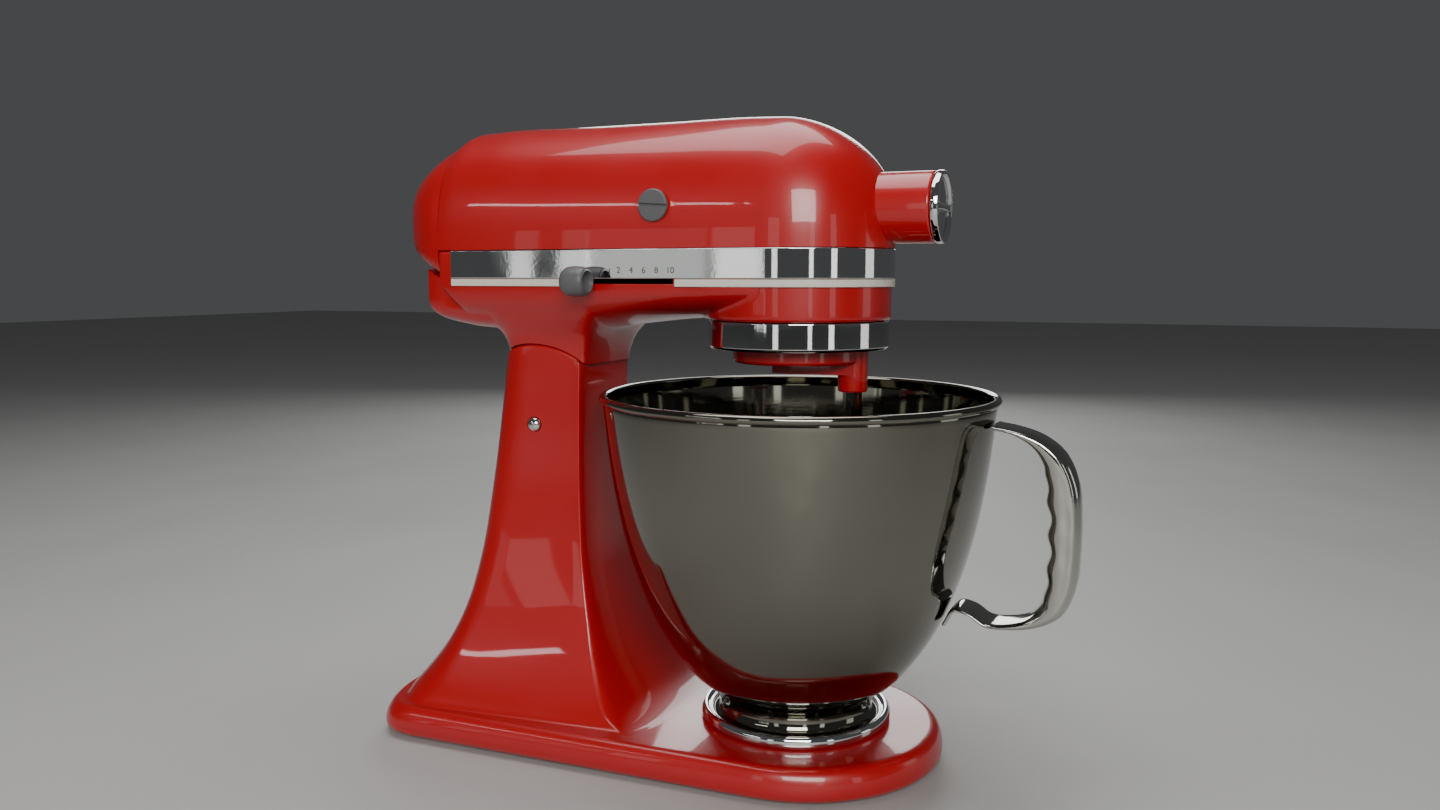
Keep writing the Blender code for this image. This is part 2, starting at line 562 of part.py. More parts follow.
def make_rear_cover():
    piece = node("rear_cover", loft([oval_section(*s) for s in REAR_SECTIONS]), "red_enamel", "head")
    wall = 0.003
    inner = [(COVER_SEAM - 0.01, 0.0467, 0.2683, 0.2860, 0.3450)]
    inner += [(y - wall, half - wall, low + wall, widest, high - wall)
              for y, half, low, widest, high in REAR_SECTIONS[1:-1]]
    cut(piece, loft([oval_section(*s) for s in inner]))
    cut(piece, moved(cylinder(0.0038, 0.20, 0.25, 12), (0, 0, 0.2900), (0, 1, 0)))
    screw = ((0, 0.218), (0.002, 0.218), (0.002, 0.2375), (0.0034, 0.2375), (0.0034, 0.2392), (0, 0.2398))
    node("rear_cover_screw", moved(turned(screw, 12), (0, 0, 0.2900), (0, 1, 0)), "plain_steel", "head")


def strip(low, high, offset, thick, left_end, right_end, steps=24):
    """Upright strip round the front of the head, from one side's end to the other's."""
    start = math.pi / 2
    outline = []
    for radius in (offset + thick, offset):
        run = [(-radius * math.sin(start - math.pi * i / steps), -radius * math.cos(start - math.pi * i / steps))
               for i in range(steps + 1)]
        run = [(-radius, left_end), *run, (radius, right_end)]
        outline += run if radius > offset else reversed(run)
    return prism(outline, low, high)


def make_trim():
    thick = BAND_OUTER - HEAD_HALF - GAP
    node("trim_band", strip(0.2 + BAND_LOW, 0.2 + BAND_HIGH, HEAD_HALF + GAP, thick, BAND_REAR, BAND_REAR),
         "chrome", "head")
    low, high = 0.2624, 0.2 + BAND_LOW - GAP
    offset, slot_front, slot_rear = HEAD_HALF + GAP, 0.0505, 0.1110
    node("trim_stripe", strip(low, high, offset, thick, slot_front, BAND_REAR), "cream_stripe", "head")
    rear = box((-offset - thick, slot_rear, low), (-offset, BAND_REAR, high))
    node("trim_stripe_rear", rear, "cream_stripe", "head")


def make_gearcase_fittings():
    top = GEARCASE_LOW - GAP
    profile = ((DRIP_RADIUS - 0.0012, DRIP_LOW), (DRIP_RADIUS, DRIP_LOW + 0.0012), (DRIP_RADIUS, top),
               (DRIP_RADIUS - 0.0020, top), (DRIP_RADIUS - 0.0020, DRIP_LOW + 0.0015),
               (DRIP_RADIUS - 0.0060, DRIP_LOW + 0.0015), (DRIP_RADIUS - 0.0060, DRIP_LOW))
    node("drip_ring", turned(profile, 32), "chrome", "head")
    low, high, outer = 0.2462, 0.2560, GEARCASE_BORE - GAP
    ring = node("ring_gear", cylinder(outer, low, high, RING_TEETH), "plain_steel", "head")
    hollow = gear_outline(RING_TEETH, PLANET_MODULE, addendum=1.10, dedendum=0.70, thickness=0.52)
    cut(ring, prism(hollow, low - 0.002, high + 0.002))
    bore, sleeve, flange = 0.0034, 0.0060, 0.0085
    profile = ((bore, 0.2110), (sleeve, 0.2110), (sleeve, 0.2188), (flange, 0.2188), (flange, 0.2203),
               (0.0050, 0.2210), (bore, 0.2210))
    node("cord_grommet", moved(turned(profile, 20), CORD_INLET, (0, 1, 0)), "black_rubber", "head")


# ---------------------------------------------------------------- drive train
def make_planetary():
    profile = ((0, 0.2210), (0.0350, 0.2210), (0.0362, 0.2222), (0.0362, 0.2310), (0.0150, 0.2310),
               (0.0120, 0.2400), (0, 0.2400))
    piece = node("planetary_housing", turned(profile, 36), "red_enamel", "planetary")
    arm = [(-0.0120, 0.0), (-0.0085, -0.034), (0.0085, -0.034), (0.0120, 0.0), (0.009, 0.012), (-0.009, 0.012)]
    join(piece, prism(arm, 0.2151, 0.2225))
    boss = ((0, 0.2058), (0.0074, 0.2058), (0.0080, 0.2066), (0.0085, 0.2300), (0, 0.2300))
    join(piece, moved(turned(boss, 24), (0, -ORBIT, 0)))
    cut(piece, moved(cylinder(0.0057, 0.20, 0.25, 20), (0, -ORBIT, 0)))
    cut(piece, cylinder(0.0063, 0.2215, 0.25, 20))
    node("centre_shaft", cylinder(0.0060, 0.2220, 0.2900, 20), "plain_steel", "planetary")
    gear = node("centre_gear", prism(gear_outline(CENTRE_TEETH, SPUR_MODULE), 0.2660, 0.2740), "plain_steel",
                "planetary", smooth=False)
    join(gear, bevel_gear(math.pi, math.pi / BEVEL_TEETH))
    join(gear, cylinder(0.0125, 0.2730, 0.2835, 24))
    cut(gear, cylinder(0.0060 + GAP, 0.25, 0.30, 20))


def bevel_gear(tilt, turn):
    """A straight bevel gear whose pitch cone's tip is where the centre and hub axes cross."""
    outline = gear_outline(BEVEL_TEETH, 2 / BEVEL_TEETH, turn, addendum=0.6, dedendum=0.9)
    bm = loft([[(x * size, y * size, size) for x, y in outline] for size in (0.0220, 0.0155)])
    matrix = Matrix.Translation((0, 0, HUB_Z)) @ Matrix.Rotation(tilt, 4, "X")
    bmesh.ops.transform(bm, matrix=matrix, verts=bm.verts)
    return bm


def make_beater_shaft():
    outline = gear_outline(PLANET_TEETH, PLANET_MODULE, math.pi / 2 + math.pi / PLANET_TEETH)
    gear = node("planet_pinion", moved(prism(outline, 0.2466, 0.2556), (0, -ORBIT, 0)), "plain_steel",
                "beater", smooth=False)
    cut(gear, moved(cylinder(0.0053 + GAP, 0.24, 0.26, 20), (0, -ORBIT, 0)))
    profile = ((0, 0.1745), (0.0040, 0.1745), (0.0053, 0.1760), (0.0053, 0.2560), (0, 0.2560))
    shaft = node("beater_shaft", moved(turned(profile, 20), (0, -ORBIT, 0)), "chrome", "beater")
    join(shaft, moved(cylinder(0.0016, -0.0095, 0.0095, 10), (0, -ORBIT, 0.1870), (1, 0, 0)))


def make_worm_wheel():
    place = (WORM_WHEEL_X, WORM_WHEEL_Y, 0)
    teeth = 20
    module = 2 * 0.0178 / teeth
    wheel = node("worm_wheel", moved(prism(gear_outline(teeth, module), 0.3015, 0.3085), place), "brass",
                 "worm_wheel", smooth=False)
    cut(wheel, moved(cylinder(0.0043, 0.29, 0.32, 16), place))
    outline = gear_outline(PINION_TEETH, SPUR_MODULE, PINION_ANGLE + math.pi + math.pi / PINION_TEETH)
    pinion = node("pinion_shaft", moved(prism(outline, 0.2660, 0.2740), place), "plain_steel", "worm_wheel",
                  smooth=False)
    join(pinion, moved(cylinder(0.0040, 0.2600, 0.3180, 16), place))
    bracket = node("gear_bracket", box((-0.040, 0.0060, 0.2900), (0.0430, 0.0490, 0.2935)), "cast_alloy", "head")
    upright = [(-0.030, 0.2910), (0.030, 0.2910), (0.030, 0.318), *arc((0, 0.312), 0.018, 20, 160, 6),
               (-0.030, 0.318)]
    join(bracket, prism(upright, 0.0440, 0.0490, "Y"))
    cut(bracket, moved(cylinder(0.0112, 0.03, 0.06, 24), (0, 0, MOTOR_Z), (0, 1, 0)))
    cut(bracket, moved(cylinder(0.0043, 0.28, 0.30, 16), place))


def on_motor(bm):
    """Carry a shape turned about Z, with its heights as y, onto the motor's axis."""
    return moved(bm, (0, 0, MOTOR_Z), (0, 1, 0))


def make_armature():
    shaft = ((0, 0.0060), (0.0050, 0.0060), (0.0050, 0.1800), (0, 0.1800))
    node("armature_shaft", on_motor(turned(shaft, 20)), "plain_steel", "armature")
    bore = 0.0050 + GAP
    core = ((bore, 0.0740), (0.0160, 0.0740), (0.0190, 0.0790), (0.0232, 0.0795), (0.0232, 0.1205),
            (0.0190, 0.1210), (0.0160, 0.1260), (bore, 0.1260))
    node("armature_core", on_motor(turned(core, 24)), "lamination", "armature")
    node("commutator", on_motor(tube(0.0130, bore, 0.0545, 0.0710, 24)), "copper", "armature")
    fan = node("cooling_fan", on_motor(tube(0.0120, bore, 0.1310, 0.1430, 24)), "nylon", "armature")
    blade = box((0.0100, -0.0010, 0.1320), (0.0290, 0.0010, 0.1420))
    for i in range(8):
        copy = blade.copy()
        bmesh.ops.rotate(copy, matrix=Matrix.Rotation(math.radians(45 * i), 3, "Z"), verts=copy.verts)
        join(fan, on_motor(copy))
    blade.free()
    governor = ((bore, 0.1600), (0.0120, 0.1600), (0.0150, 0.1640), (0.0150, 0.1690), (0.0090, 0.1760),
                (bore, 0.1760))
    node("governor", on_motor(turned(governor, 24)), "brass", "armature")


def make_motor_frame():
    node("field_core", on_motor(tube(0.0380, 0.0242, 0.0800, 0.1200, 28)), "lamination", "head")
    for name, low in (("front", 0.0703), ("rear", 0.1203)):
        coil = ((0.0262, low), (0.0330, low), (0.0355, low + 0.003), (0.0355, low + 0.0094), (0.0262, low + 0.0094))
        node(f"field_winding_{name}", on_motor(turned(coil, 24)), "copper", "head")
    for name, low in (("front", 0.0438), ("rear", 0.1480)):
        node(f"bearing_{name}", on_motor(tube(0.0109, 0.0053, low, low + 0.0056, 16)), "plain_steel", "head")
    plate = [(-0.038, 0.286), (0.038, 0.286), (0.038, 0.320), *arc((0, 0.300), 0.038, 35, 145, 6), (-0.038, 0.320)]
    bracket = node("rear_bearing_bracket", prism(plate, 0.1480, 0.1530, "Y"), "cast_alloy", "head")
    cut(bracket, on_motor(cylinder(0.0112, 0.13, 0.17, 24)))
    board = node("speed_control_plate", on_motor(tube(0.0300, 0.0075, 0.1860, 0.1885, 32)), "board", "head")
    join(board, box((-0.012, 0.1880, 0.2800), (0.012, 0.1960, 0.2950)))


def spring_rings(centre, radius, wire, low, high, turns, steps=8, sides=4):
    """Rings of points round a helical wire along X."""
    rings = []
    for i in range(turns * steps + 1):
        angle = 2 * math.pi * i / steps
        x = low + (high - low) * i / (turns * steps)
        ring = []
        for k in range(sides):
            around = 2 * math.pi * k / sides
            out = radius + wire * math.cos(around)
            ring.append((x + math.copysign(wire, high - low) * math.sin(around),
                         centre[0] + out * math.cos(angle), centre[1] + out * math.sin(angle)))
        rings.append(ring)
    return rings


def make_brushes():
    cap = ((0, 0.0400), (0.0058, 0.0400), (0.0076, 0.0415), (0.0076, 0.0516), (0.0086, 0.0516), (0.0086, 0.0530),
           (0.0080, 0.0537), (0, 0.0537))
    for name, side in (("right", -1), ("left", 1)):
        place, axis = (0, BRUSH_Y, MOTOR_Z), (side, 0, 0)
        piece = node(f"brush_cap_{name}", moved(turned(cap, 24), place, axis), "grey_plastic", "head")
        cut(piece, box((side * 0.0535 - 0.0010, BRUSH_Y - 0.010, MOTOR_Z - 0.0009),
                       (side * 0.0535 + 0.0010, BRUSH_Y + 0.010, MOTOR_Z + 0.0009)))
        node(f"brush_holder_{name}", moved(tube(0.0068, 0.0046, 0.0165, 0.0394, 20), place, axis), "brass", "head")
        low, high = sorted((side * 0.0134, side * 0.0270))
        node(f"carbon_brush_{name}", box((low, BRUSH_Y - 0.0030, MOTOR_Z - 0.0030),
                                         (high, BRUSH_Y + 0.0030, MOTOR_Z + 0.0030)), "carbon", "head")
        rings = spring_rings((BRUSH_Y, MOTOR_Z), 0.0030, 0.0005, side * 0.0280, side * 0.0390, 3)
        node(f"brush_spring_{name}", loft(rings), "plain_steel", "head")


def make_hub():
    gear = node("hub_gear", bevel_gear(math.pi / 2, 0.0), "plain_steel", "hub_drive", smooth=False)
    join(gear, moved(cylinder(0.0115, 0.0210, 0.0700, 24), (0, 0, HUB_Z), (0, -1, 0)))
    half = 0.0048
    cut(gear, box((-half, -0.075, HUB_Z - half), (half, -0.040, HUB_Z + half)))
    cap = ((0, 0.0706), (0.0140, 0.0706), (0.0140, 0.0756), (0.0186, 0.0756), (0.0190, 0.0772), (0.0186, 0.0796),
           (0.0168, 0.0796), (0.0155, 0.0778), (0, 0.0768))
    piece = node("hub_cap", moved(turned(cap, 32), (0, 0, HUB_Z), (0, -1, 0)), "chrome", "hub_cap")
    join(piece, box((-0.0158, -0.0798, HUB_Z - 0.0018), (0.0158, -0.0765, HUB_Z + 0.0018)))
    knob = ((0, 0.0158), (0.0030, 0.0158), (0.0030, 0.0195), (0.0060, 0.0195), (0.0095, 0.0220), (0.0100, 0.0240),
            (0.0100, 0.0330), (0.0085, 0.0350), (0, 0.0355))
    node("attachment_knob", moved(turned(knob, 20), (0, -0.062, HUB_Z), (1, 0, 0)), "grey_plastic",
         "attachment_knob")


def make_controls():
    link_low, link_high = LEVER_Z - 0.0060, LEVER_Z + 0.0009
    outline = [(-0.0600, LEVER_Y - 0.0022), (-0.0430, LEVER_Y - 0.0022), (-0.0430, 0.166), (-0.0455, 0.166),
               (-0.0455, LEVER_Y + 0.0022), (-0.0600, LEVER_Y + 0.0022)]
    lever = node("speed_lever", prism(outline, LEVER_Z - 0.0009, LEVER_Z + 0.0009), "chrome", "speed_lever")
    join(lever, box((-0.0453, LEVER_Y, link_low), (-0.0432, 0.166, link_high)))
    knob = ((0, -0.0080), (0.0062, -0.0080), (0.0079, -0.0050), (0.0082, 0), (0.0078, 0.0040), (0.0056, 0.0072),
            (0, 0.0072))
    piece = node("speed_knob", moved(turned(knob, 16), (-0.0620, LEVER_Y, LEVER_Z), (0, 1, 0)), "grey_plastic",
                 "speed_lever")
    cut(piece, moved(cylinder(0.0045, -0.02, -0.0045, 12), (-0.0620, LEVER_Y, LEVER_Z), (0, 1, 0)))
    cut(piece, box((-0.0603, LEVER_Y - 0.0026, LEVER_Z - 0.0013), (-0.05, LEVER_Y + 0.0026, LEVER_Z + 0.0013)))
    lock = node("head_lock", moved(cylinder(0.0038, 0.1355, 0.1580, 16), (0, 0, 0.2075), (0, 1, 0)), "plain_steel",
                "head_lock")
    join(lock, box((-0.0030, 0.1470, 0.2060), (0.0030, 0.1520, 0.2380)))
    join(lock, box((-0.0020, 0.1428, 0.2345), (0.0450, 0.1455, 0.2375)))
    join(lock, box((-0.0020, 0.1440, 0.2345), (0.0030, 0.1500, 0.2375)))
    grip = ((0, 0.0430), (0.0050, 0.0430), (0.0058, 0.0450), (0.0048, 0.0490), (0, 0.0500))
    join(lock, moved(turned(grip, 12), (0, 0.1441, 0.2360), (1, 0, 0)))


# ---------------------------------------------------------------- assembly
def main():
    for old in list(bpy.data.objects):
        bpy.data.objects.remove(old)
    make_bodies()
    make_pedestal()
    make_feet()
    make_clamp()
    make_hinge()
    make_bowl()
    make_handle()
    make_lower_housing()
    make_upper_housing()
    make_rear_cover()
    make_trim()
    make_gearcase_fittings()
    make_planetary()
    make_beater_shaft()
    make_worm_wheel()
    make_armature()
    make_motor_frame()
    make_brushes()
    make_hub()
    make_controls()


main()
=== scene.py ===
"""Looks of the tilt-head stand mixer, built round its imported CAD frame.

Metres, in the frame's own axes: +Z up, front (bowl handle) towards -Y, speed lever on the -X side.
Shapes are written in machine coordinates, whose Z axis is the bowl's axis, and moved to the frame at the end.
"""

import json
import math

import bmesh
import bpy
import numpy as np
from mathutils import Matrix, Vector


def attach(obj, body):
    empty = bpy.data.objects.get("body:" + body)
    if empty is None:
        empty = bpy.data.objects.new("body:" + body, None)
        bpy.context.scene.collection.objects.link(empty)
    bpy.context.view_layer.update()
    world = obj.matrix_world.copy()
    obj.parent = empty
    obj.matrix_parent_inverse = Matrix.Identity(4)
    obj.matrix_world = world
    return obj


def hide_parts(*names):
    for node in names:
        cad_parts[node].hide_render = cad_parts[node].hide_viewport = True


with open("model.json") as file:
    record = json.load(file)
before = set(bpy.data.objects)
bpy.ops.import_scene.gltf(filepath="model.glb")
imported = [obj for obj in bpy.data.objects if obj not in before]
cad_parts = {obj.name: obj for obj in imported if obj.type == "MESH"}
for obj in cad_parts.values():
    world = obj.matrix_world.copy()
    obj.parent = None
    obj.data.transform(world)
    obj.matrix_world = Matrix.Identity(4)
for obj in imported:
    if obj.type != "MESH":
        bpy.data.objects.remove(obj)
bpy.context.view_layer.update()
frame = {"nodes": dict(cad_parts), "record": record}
MACHINE = Vector((0, -0.0445, 0))  # the bowl's axis in the frame

# ---------------------------------------------------------------- camera, light, floor


def make_camera():
    data = bpy.data.cameras.new("camera")
    data.lens = 27.72
    data.sensor_width = 36
    camera = bpy.data.objects.new("camera", data)
    camera.location = (-0.57808, -0.24994, 0.26850)
    camera.rotation_euler = Vector((0.91006, 0.39784, -0.11629)).to_track_quat("-Z", "Y").to_euler()
    bpy.context.scene.collection.objects.link(camera)
    bpy.context.scene.camera = camera


def make_light(name, place, target, size, power, colour=(1, 1, 1)):
    data = bpy.data.lights.new(name, "AREA")
    data.shape = "RECTANGLE"
    data.size, data.size_y = size
    data.energy = power
    data.color = colour
    light = bpy.data.objects.new(name, data)
    light.location = place
    light.rotation_euler = (Vector(target) - Vector(place)).to_track_quat("-Z", "Y").to_euler()
    light.visible_camera = False
    bpy.context.scene.collection.objects.link(light)


# Faint panels that the bright metal mirrors: x, y, z, width, height, power.
CARDS = (
    (-2.0, 1.03, 0.34, 0.30, 0.40, 0.22), (-2.0, 1.24, 0.34, 0.08, 0.40, 0.10),
    (-2.0, 1.40, 0.34, 0.06, 0.40, 0.08), (-2.0, 0.78, 0.34, 0.12, 0.40, 0.20),
    (-1.9, 0.25, 0.36, 0.22, 0.60, 0.60), (-1.6, -1.1, 0.40, 0.16, 0.70, 0.60),
    (-1.0, -1.8, 0.40, 0.24, 0.70, 0.90), (0.7, -2.0, 0.40, 0.50, 0.70, 1.20),
)


def make_studio():
    make_light("key", (-1.7, -0.75, 0.95), (0, 0, 0.2), (1.0, 0.7), 28, (1.0, 0.98, 0.95))
    make_light("top", (0.05, 0.1, 1.25), (0, 0, 0.3), (1.1, 0.7), 10)
    make_light("line", (-2.0, 1.30, 1.05), (-0.05, 0.1, 0.3), (0.9, 0.05), 2)
    make_light("back", (1.6, 0.55, 0.75), (0, 0, 0.1), (0.9, 0.7), 8)
    for number, (x, y, z, wide, tall, power) in enumerate(CARDS, 1):
        make_light(f"card_{number}", (x, y, z), (-0.05, 0, z), (wide, tall), power, (0.97, 1.0, 0.95))
    world = bpy.data.worlds.new("studio")
    world.use_nodes = True
    background = world.node_tree.nodes["Background"]
    background.inputs["Color"].default_value = (0.115, 0.117, 0.120, 1)
    background.inputs["Strength"].default_value = 0.6
    bpy.context.scene.world = world
    floor = new_object("floor", shape_box((-6, -6, -0.02), (6, 6, 0)))
    floor.data.materials.append(MATERIALS["floor"])


# ---------------------------------------------------------------- materials
MATERIALS = {}


def finish(name, colour, other, metallic, rough, grain, bump, coat=0.0, stretch=(1, 1, 1), sheen=0.0):
    """A material whose colour wanders between two tones and roughness between two values, with a fine bump.

    grain is the fine detail's size in metres; stretch scales the coordinates it is read at.
    """
    made = bpy.data.materials.new(name)
    made.use_nodes = True
    nodes, links = made.node_tree.nodes, made.node_tree.links
    shader = nodes["Principled BSDF"]
    shader.inputs["Metallic"].default_value = metallic
    shader.inputs["Coat Weight"].default_value = coat
    shader.inputs["Coat Roughness"].default_value = 0.03
    shader.inputs["Sheen Weight"].default_value = sheen
    where = nodes.new("ShaderNodeTexCoord")
    mapping = nodes.new("ShaderNodeMapping")
    mapping.inputs["Scale"].default_value = stretch
    links.new(where.outputs["Object"], mapping.inputs["Vector"])

    def noise(size, detail):
        found = nodes.new("ShaderNodeTexNoise")
        found.inputs["Scale"].default_value = 1 / size
        found.inputs["Detail"].default_value = detail
        links.new(mapping.outputs["Vector"], found.inputs["Vector"])
        return found

    tone = nodes.new("ShaderNodeMix")
    tone.data_type = "RGBA"
    tone.inputs[6].default_value = (*colour, 1)
    tone.inputs[7].default_value = (*other, 1)
    links.new(noise(grain * 30, 3).outputs["Fac"], tone.inputs[0])
    links.new(tone.outputs[2], shader.inputs["Base Color"])
    spread = nodes.new("ShaderNodeMapRange")
    spread.inputs["From Min"].default_value = 0.3
    spread.inputs["From Max"].default_value = 0.7
    spread.inputs["To Min"].default_value = rough[0]
    spread.inputs["To Max"].default_value = rough[1]
    links.new(noise(grain * 8, 4).outputs["Fac"], spread.inputs["Value"])
    links.new(spread.outputs["Result"], shader.inputs["Roughness"])
    relief = nodes.new("ShaderNodeBump")
    relief.inputs["Strength"].default_value = bump
    relief.inputs["Distance"].default_value = grain * 0.2
    links.new(noise(grain, 2).outputs["Fac"], relief.inputs["Height"])
    links.new(relief.outputs["Normal"], shader.inputs["Normal"])
    MATERIALS[name] = made


def make_materials():
    finish("red_enamel", (0.45, 0.0010, 0.0040), (0.41, 0.0008, 0.0036), 0.0, (0.30, 0.38), 0.0040, 0.012,
           coat=0.6)
    # Painted shade and painted reflection: this steel is darker and warmer than real steel, standing in for the
    # dark, warm surroundings that the bowl and its pedestal mirror.
    finish("polished_steel", (0.225, 0.218, 0.182), (0.195, 0.189, 0.16), 1.0, (0.035, 0.075), 0.0012, 0.025,
           stretch=(0.05, 0.05, 1))
    finish("handle_steel", (0.55, 0.535, 0.50), (0.48, 0.47, 0.44), 1.0, (0.06, 0.12), 0.0016, 0.05)
    finish("chrome", (0.74, 0.745, 0.75), (0.68, 0.685, 0.69), 1.0, (0.025, 0.06), 0.0020, 0.015)
    finish("cream_stripe", (0.74, 0.70, 0.61), (0.69, 0.65, 0.56), 0.0, (0.25, 0.36), 0.0010, 0.06, coat=0.3)
    finish("grey_plastic", (0.115, 0.115, 0.12), (0.095, 0.095, 0.10), 0.0, (0.38, 0.50), 0.0006, 0.22)
    finish("dial_ink", (0.05, 0.05, 0.055), (0.07, 0.07, 0.075), 0.0, (0.45, 0.6), 0.0005, 0.1)
    finish("black_rubber", (0.022, 0.022, 0.022), (0.034, 0.033, 0.032), 0.0, (0.65, 0.85), 0.0007, 0.35,
           sheen=0.15)
    finish("plain_steel", (0.46, 0.46, 0.455), (0.38, 0.38, 0.38), 1.0, (0.22, 0.38), 0.0008, 0.12)
    finish("cast_alloy", (0.50, 0.50, 0.50), (0.40, 0.40, 0.41), 1.0, (0.42, 0.60), 0.0014, 0.40)
    finish("brass", (0.72, 0.50, 0.20), (0.62, 0.42, 0.16), 1.0, (0.20, 0.34), 0.0008, 0.10)
    finish("copper", (0.72, 0.27, 0.12), (0.58, 0.20, 0.09), 1.0, (0.28, 0.42), 0.0006, 0.35,
           stretch=(1, 1, 4))
    finish("carbon", (0.030, 0.030, 0.032), (0.05, 0.05, 0.05), 0.0, (0.5, 0.7), 0.0005, 0.25)
    finish("lamination", (0.20, 0.20, 0.215), (0.14, 0.14, 0.15), 1.0, (0.40, 0.55), 0.0006, 0.50,
           stretch=(0.05, 1, 0.05))
    finish("nylon", (0.74, 0.72, 0.65), (0.68, 0.66, 0.58), 0.0, (0.42, 0.55), 0.0008, 0.12)
    finish("board", (0.26, 0.16, 0.075), (0.20, 0.12, 0.055), 0.0, (0.50, 0.65), 0.0010, 0.20)
    finish("floor", (0.50, 0.497, 0.490), (0.465, 0.462, 0.455), 0.0, (0.55, 0.70), 0.0200, 0.03)


# ---------------------------------------------------------------- shape helpers
def filled(rows, steps, weights=None):
    """Rows of numbers, filled in along a smooth curve through them with that many steps between each pair."""
    rows = np.array(rows, float)
    gaps = np.diff(rows, axis=0) * (1 if weights is None else np.array(weights))
    at = np.concatenate([[0], np.cumsum(np.linalg.norm(gaps, axis=1))])
    slopes = np.gradient(rows, at, axis=0)
    found = []
    for i in range(len(rows) - 1):
        span = at[i + 1] - at[i]
        for k in range(steps):
            t = k / steps
            found.append((2 * t**3 - 3 * t**2 + 1) * rows[i] + (t**3 - 2 * t**2 + t) * span * slopes[i]
                         + (3 * t**2 - 2 * t**3) * rows[i + 1] + (t**3 - t**2) * span * slopes[i + 1])
    return [tuple(map(float, row)) for row in [*found, rows[-1]]]


def turned(profile, steps=96):
    """A solid of revolution about Z from a closed loop of (radius, height) points."""
    bm = bmesh.new()
    rings = []
    for radius, height in profile:
        count = steps if radius > 1e-6 else 1
        angles = [2 * math.pi * i / steps for i in range(count)]
        rings.append([bm.verts.new((radius * math.cos(a), radius * math.sin(a), height)) for a in angles])
    for low, high in zip(rings, rings[1:] + rings[:1]):
        if len(low) == len(high) == 1:
            continue
        for i in range(steps):
            j = (i + 1) % steps
            corners = (low[i % len(low)], low[j % len(low)], high[j % len(high)], high[i % len(high)])
            bm.faces.new(list(dict.fromkeys(corners)))
    return bm


def loft(rings):
    """A closed solid through rings of equally many points, capped at both ends."""
    bm = bmesh.new()
    made = [[bm.verts.new(point) for point in ring] for ring in rings]
    count = len(made[0])
    for low, high in zip(made, made[1:]):
        for i in range(count):
            j = (i + 1) % count
            bm.faces.new((low[i], low[j], high[j], high[i]))
    bm.faces.new(made[0])
    bm.faces.new(made[-1])
    return bm


def prism(outline, low, high, axis="Z"):
    """An outline extruded along an axis: (x, y) for Z, (x, z) for Y, (y, z) for X."""
    order = {"Z": lambda a, b, c: (a, b, c), "Y": lambda a, b, c: (a, c, b), "X": lambda a, b, c: (c, a, b)}
    return loft([[order[axis](a, b, level) for a, b in outline] for level in (low, high)])


def shape_box(low, high):
    (x0, y0, z0), (x1, y1, z1) = low, high
    return prism(((x0, y0), (x1, y0), (x1, y1), (x0, y1)), z0, z1)


def cylinder(radius, low, high, steps=48):
    return turned(((0, low), (radius, low), (radius, high), (0, high)), steps)


def moved(bm, place=(0, 0, 0), axis=(0, 0, 1)):
    """Turn a shape so that its Z points along axis, then carry it to its place."""
    turn = Vector((0, 0, 1)).rotation_difference(Vector(axis)).to_matrix().to_4x4()
    bmesh.ops.transform(bm, matrix=Matrix.Translation(place) @ turn, verts=bm.verts)
    return bm


def arc(centre, radius, start, end, steps):
    points = []
    for i in range(steps + 1):
        angle = math.radians(start + (end - start) * i / steps)
        points.append((centre[0] + radius * math.cos(angle), centre[1] + radius * math.sin(angle)))
    return points


def rounded_power(angle, power):
    """Sine and cosine of a quarter turn, squared off by the power: 2 is a circle."""
    return math.sin(angle) ** (2 / power), math.cos(angle) ** (2 / power)


def signed_power(value, power):
    return math.copysign(abs(value) ** power, value)


def softened(profile, radius, steps=4):
    """A profile with each corner replaced by a small curve; its first and last points stay."""
    found = [profile[0]]
    for before, corner, after in zip(profile, profile[1:], profile[2:]):
        corner = Vector(corner)
        back, ahead = Vector(before) - corner, Vector(after) - corner
        reach = min(radius, back.length * 0.45, ahead.length * 0.45)
        start, end = corner + back.normalized() * reach, corner + ahead.normalized() * reach
        for i in range(steps + 1):
            t = i / steps
            found.append(tuple((1 - t) ** 2 * start + 2 * t * (1 - t) * corner + t**2 * end))
    found.append(profile[-1])
    return found


# ---------------------------------------------------------------- pieces
def new_object(name, bm):
    bmesh.ops.recalc_face_normals(bm, faces=bm.faces)
    mesh = bpy.data.meshes.new(name)
    bm.to_mesh(mesh)
    bm.free()
    made = bpy.data.objects.new(name, mesh)
    bpy.context.scene.collection.objects.link(made)
    return made


def settle(made):
    """Apply every modifier and drop the helpers that they used."""
    helpers = [m.object for m in made.modifiers if m.type == "BOOLEAN"]
    bpy.context.view_layer.update()
    shown = made.evaluated_get(bpy.context.evaluated_depsgraph_get())
    mesh = bpy.data.meshes.new_from_object(shown)
    made.modifiers.clear()
    old, made.data = made.data, mesh
    bpy.data.meshes.remove(old)
    for helper in helpers:
        bpy.data.objects.remove(helper)


def combine(made, operation, shapes):
    for bm in shapes:
        helper = new_object("helper", bm)
        boolean = made.modifiers.new(operation.lower(), "BOOLEAN")
        boolean.operation = operation
        boolean.object = helper
        boolean.solver = "EXACT"


def cut(made, *shapes):
    combine(made, "DIFFERENCE", shapes)


def join(made, *shapes):
    combine(made, "UNION", shapes)


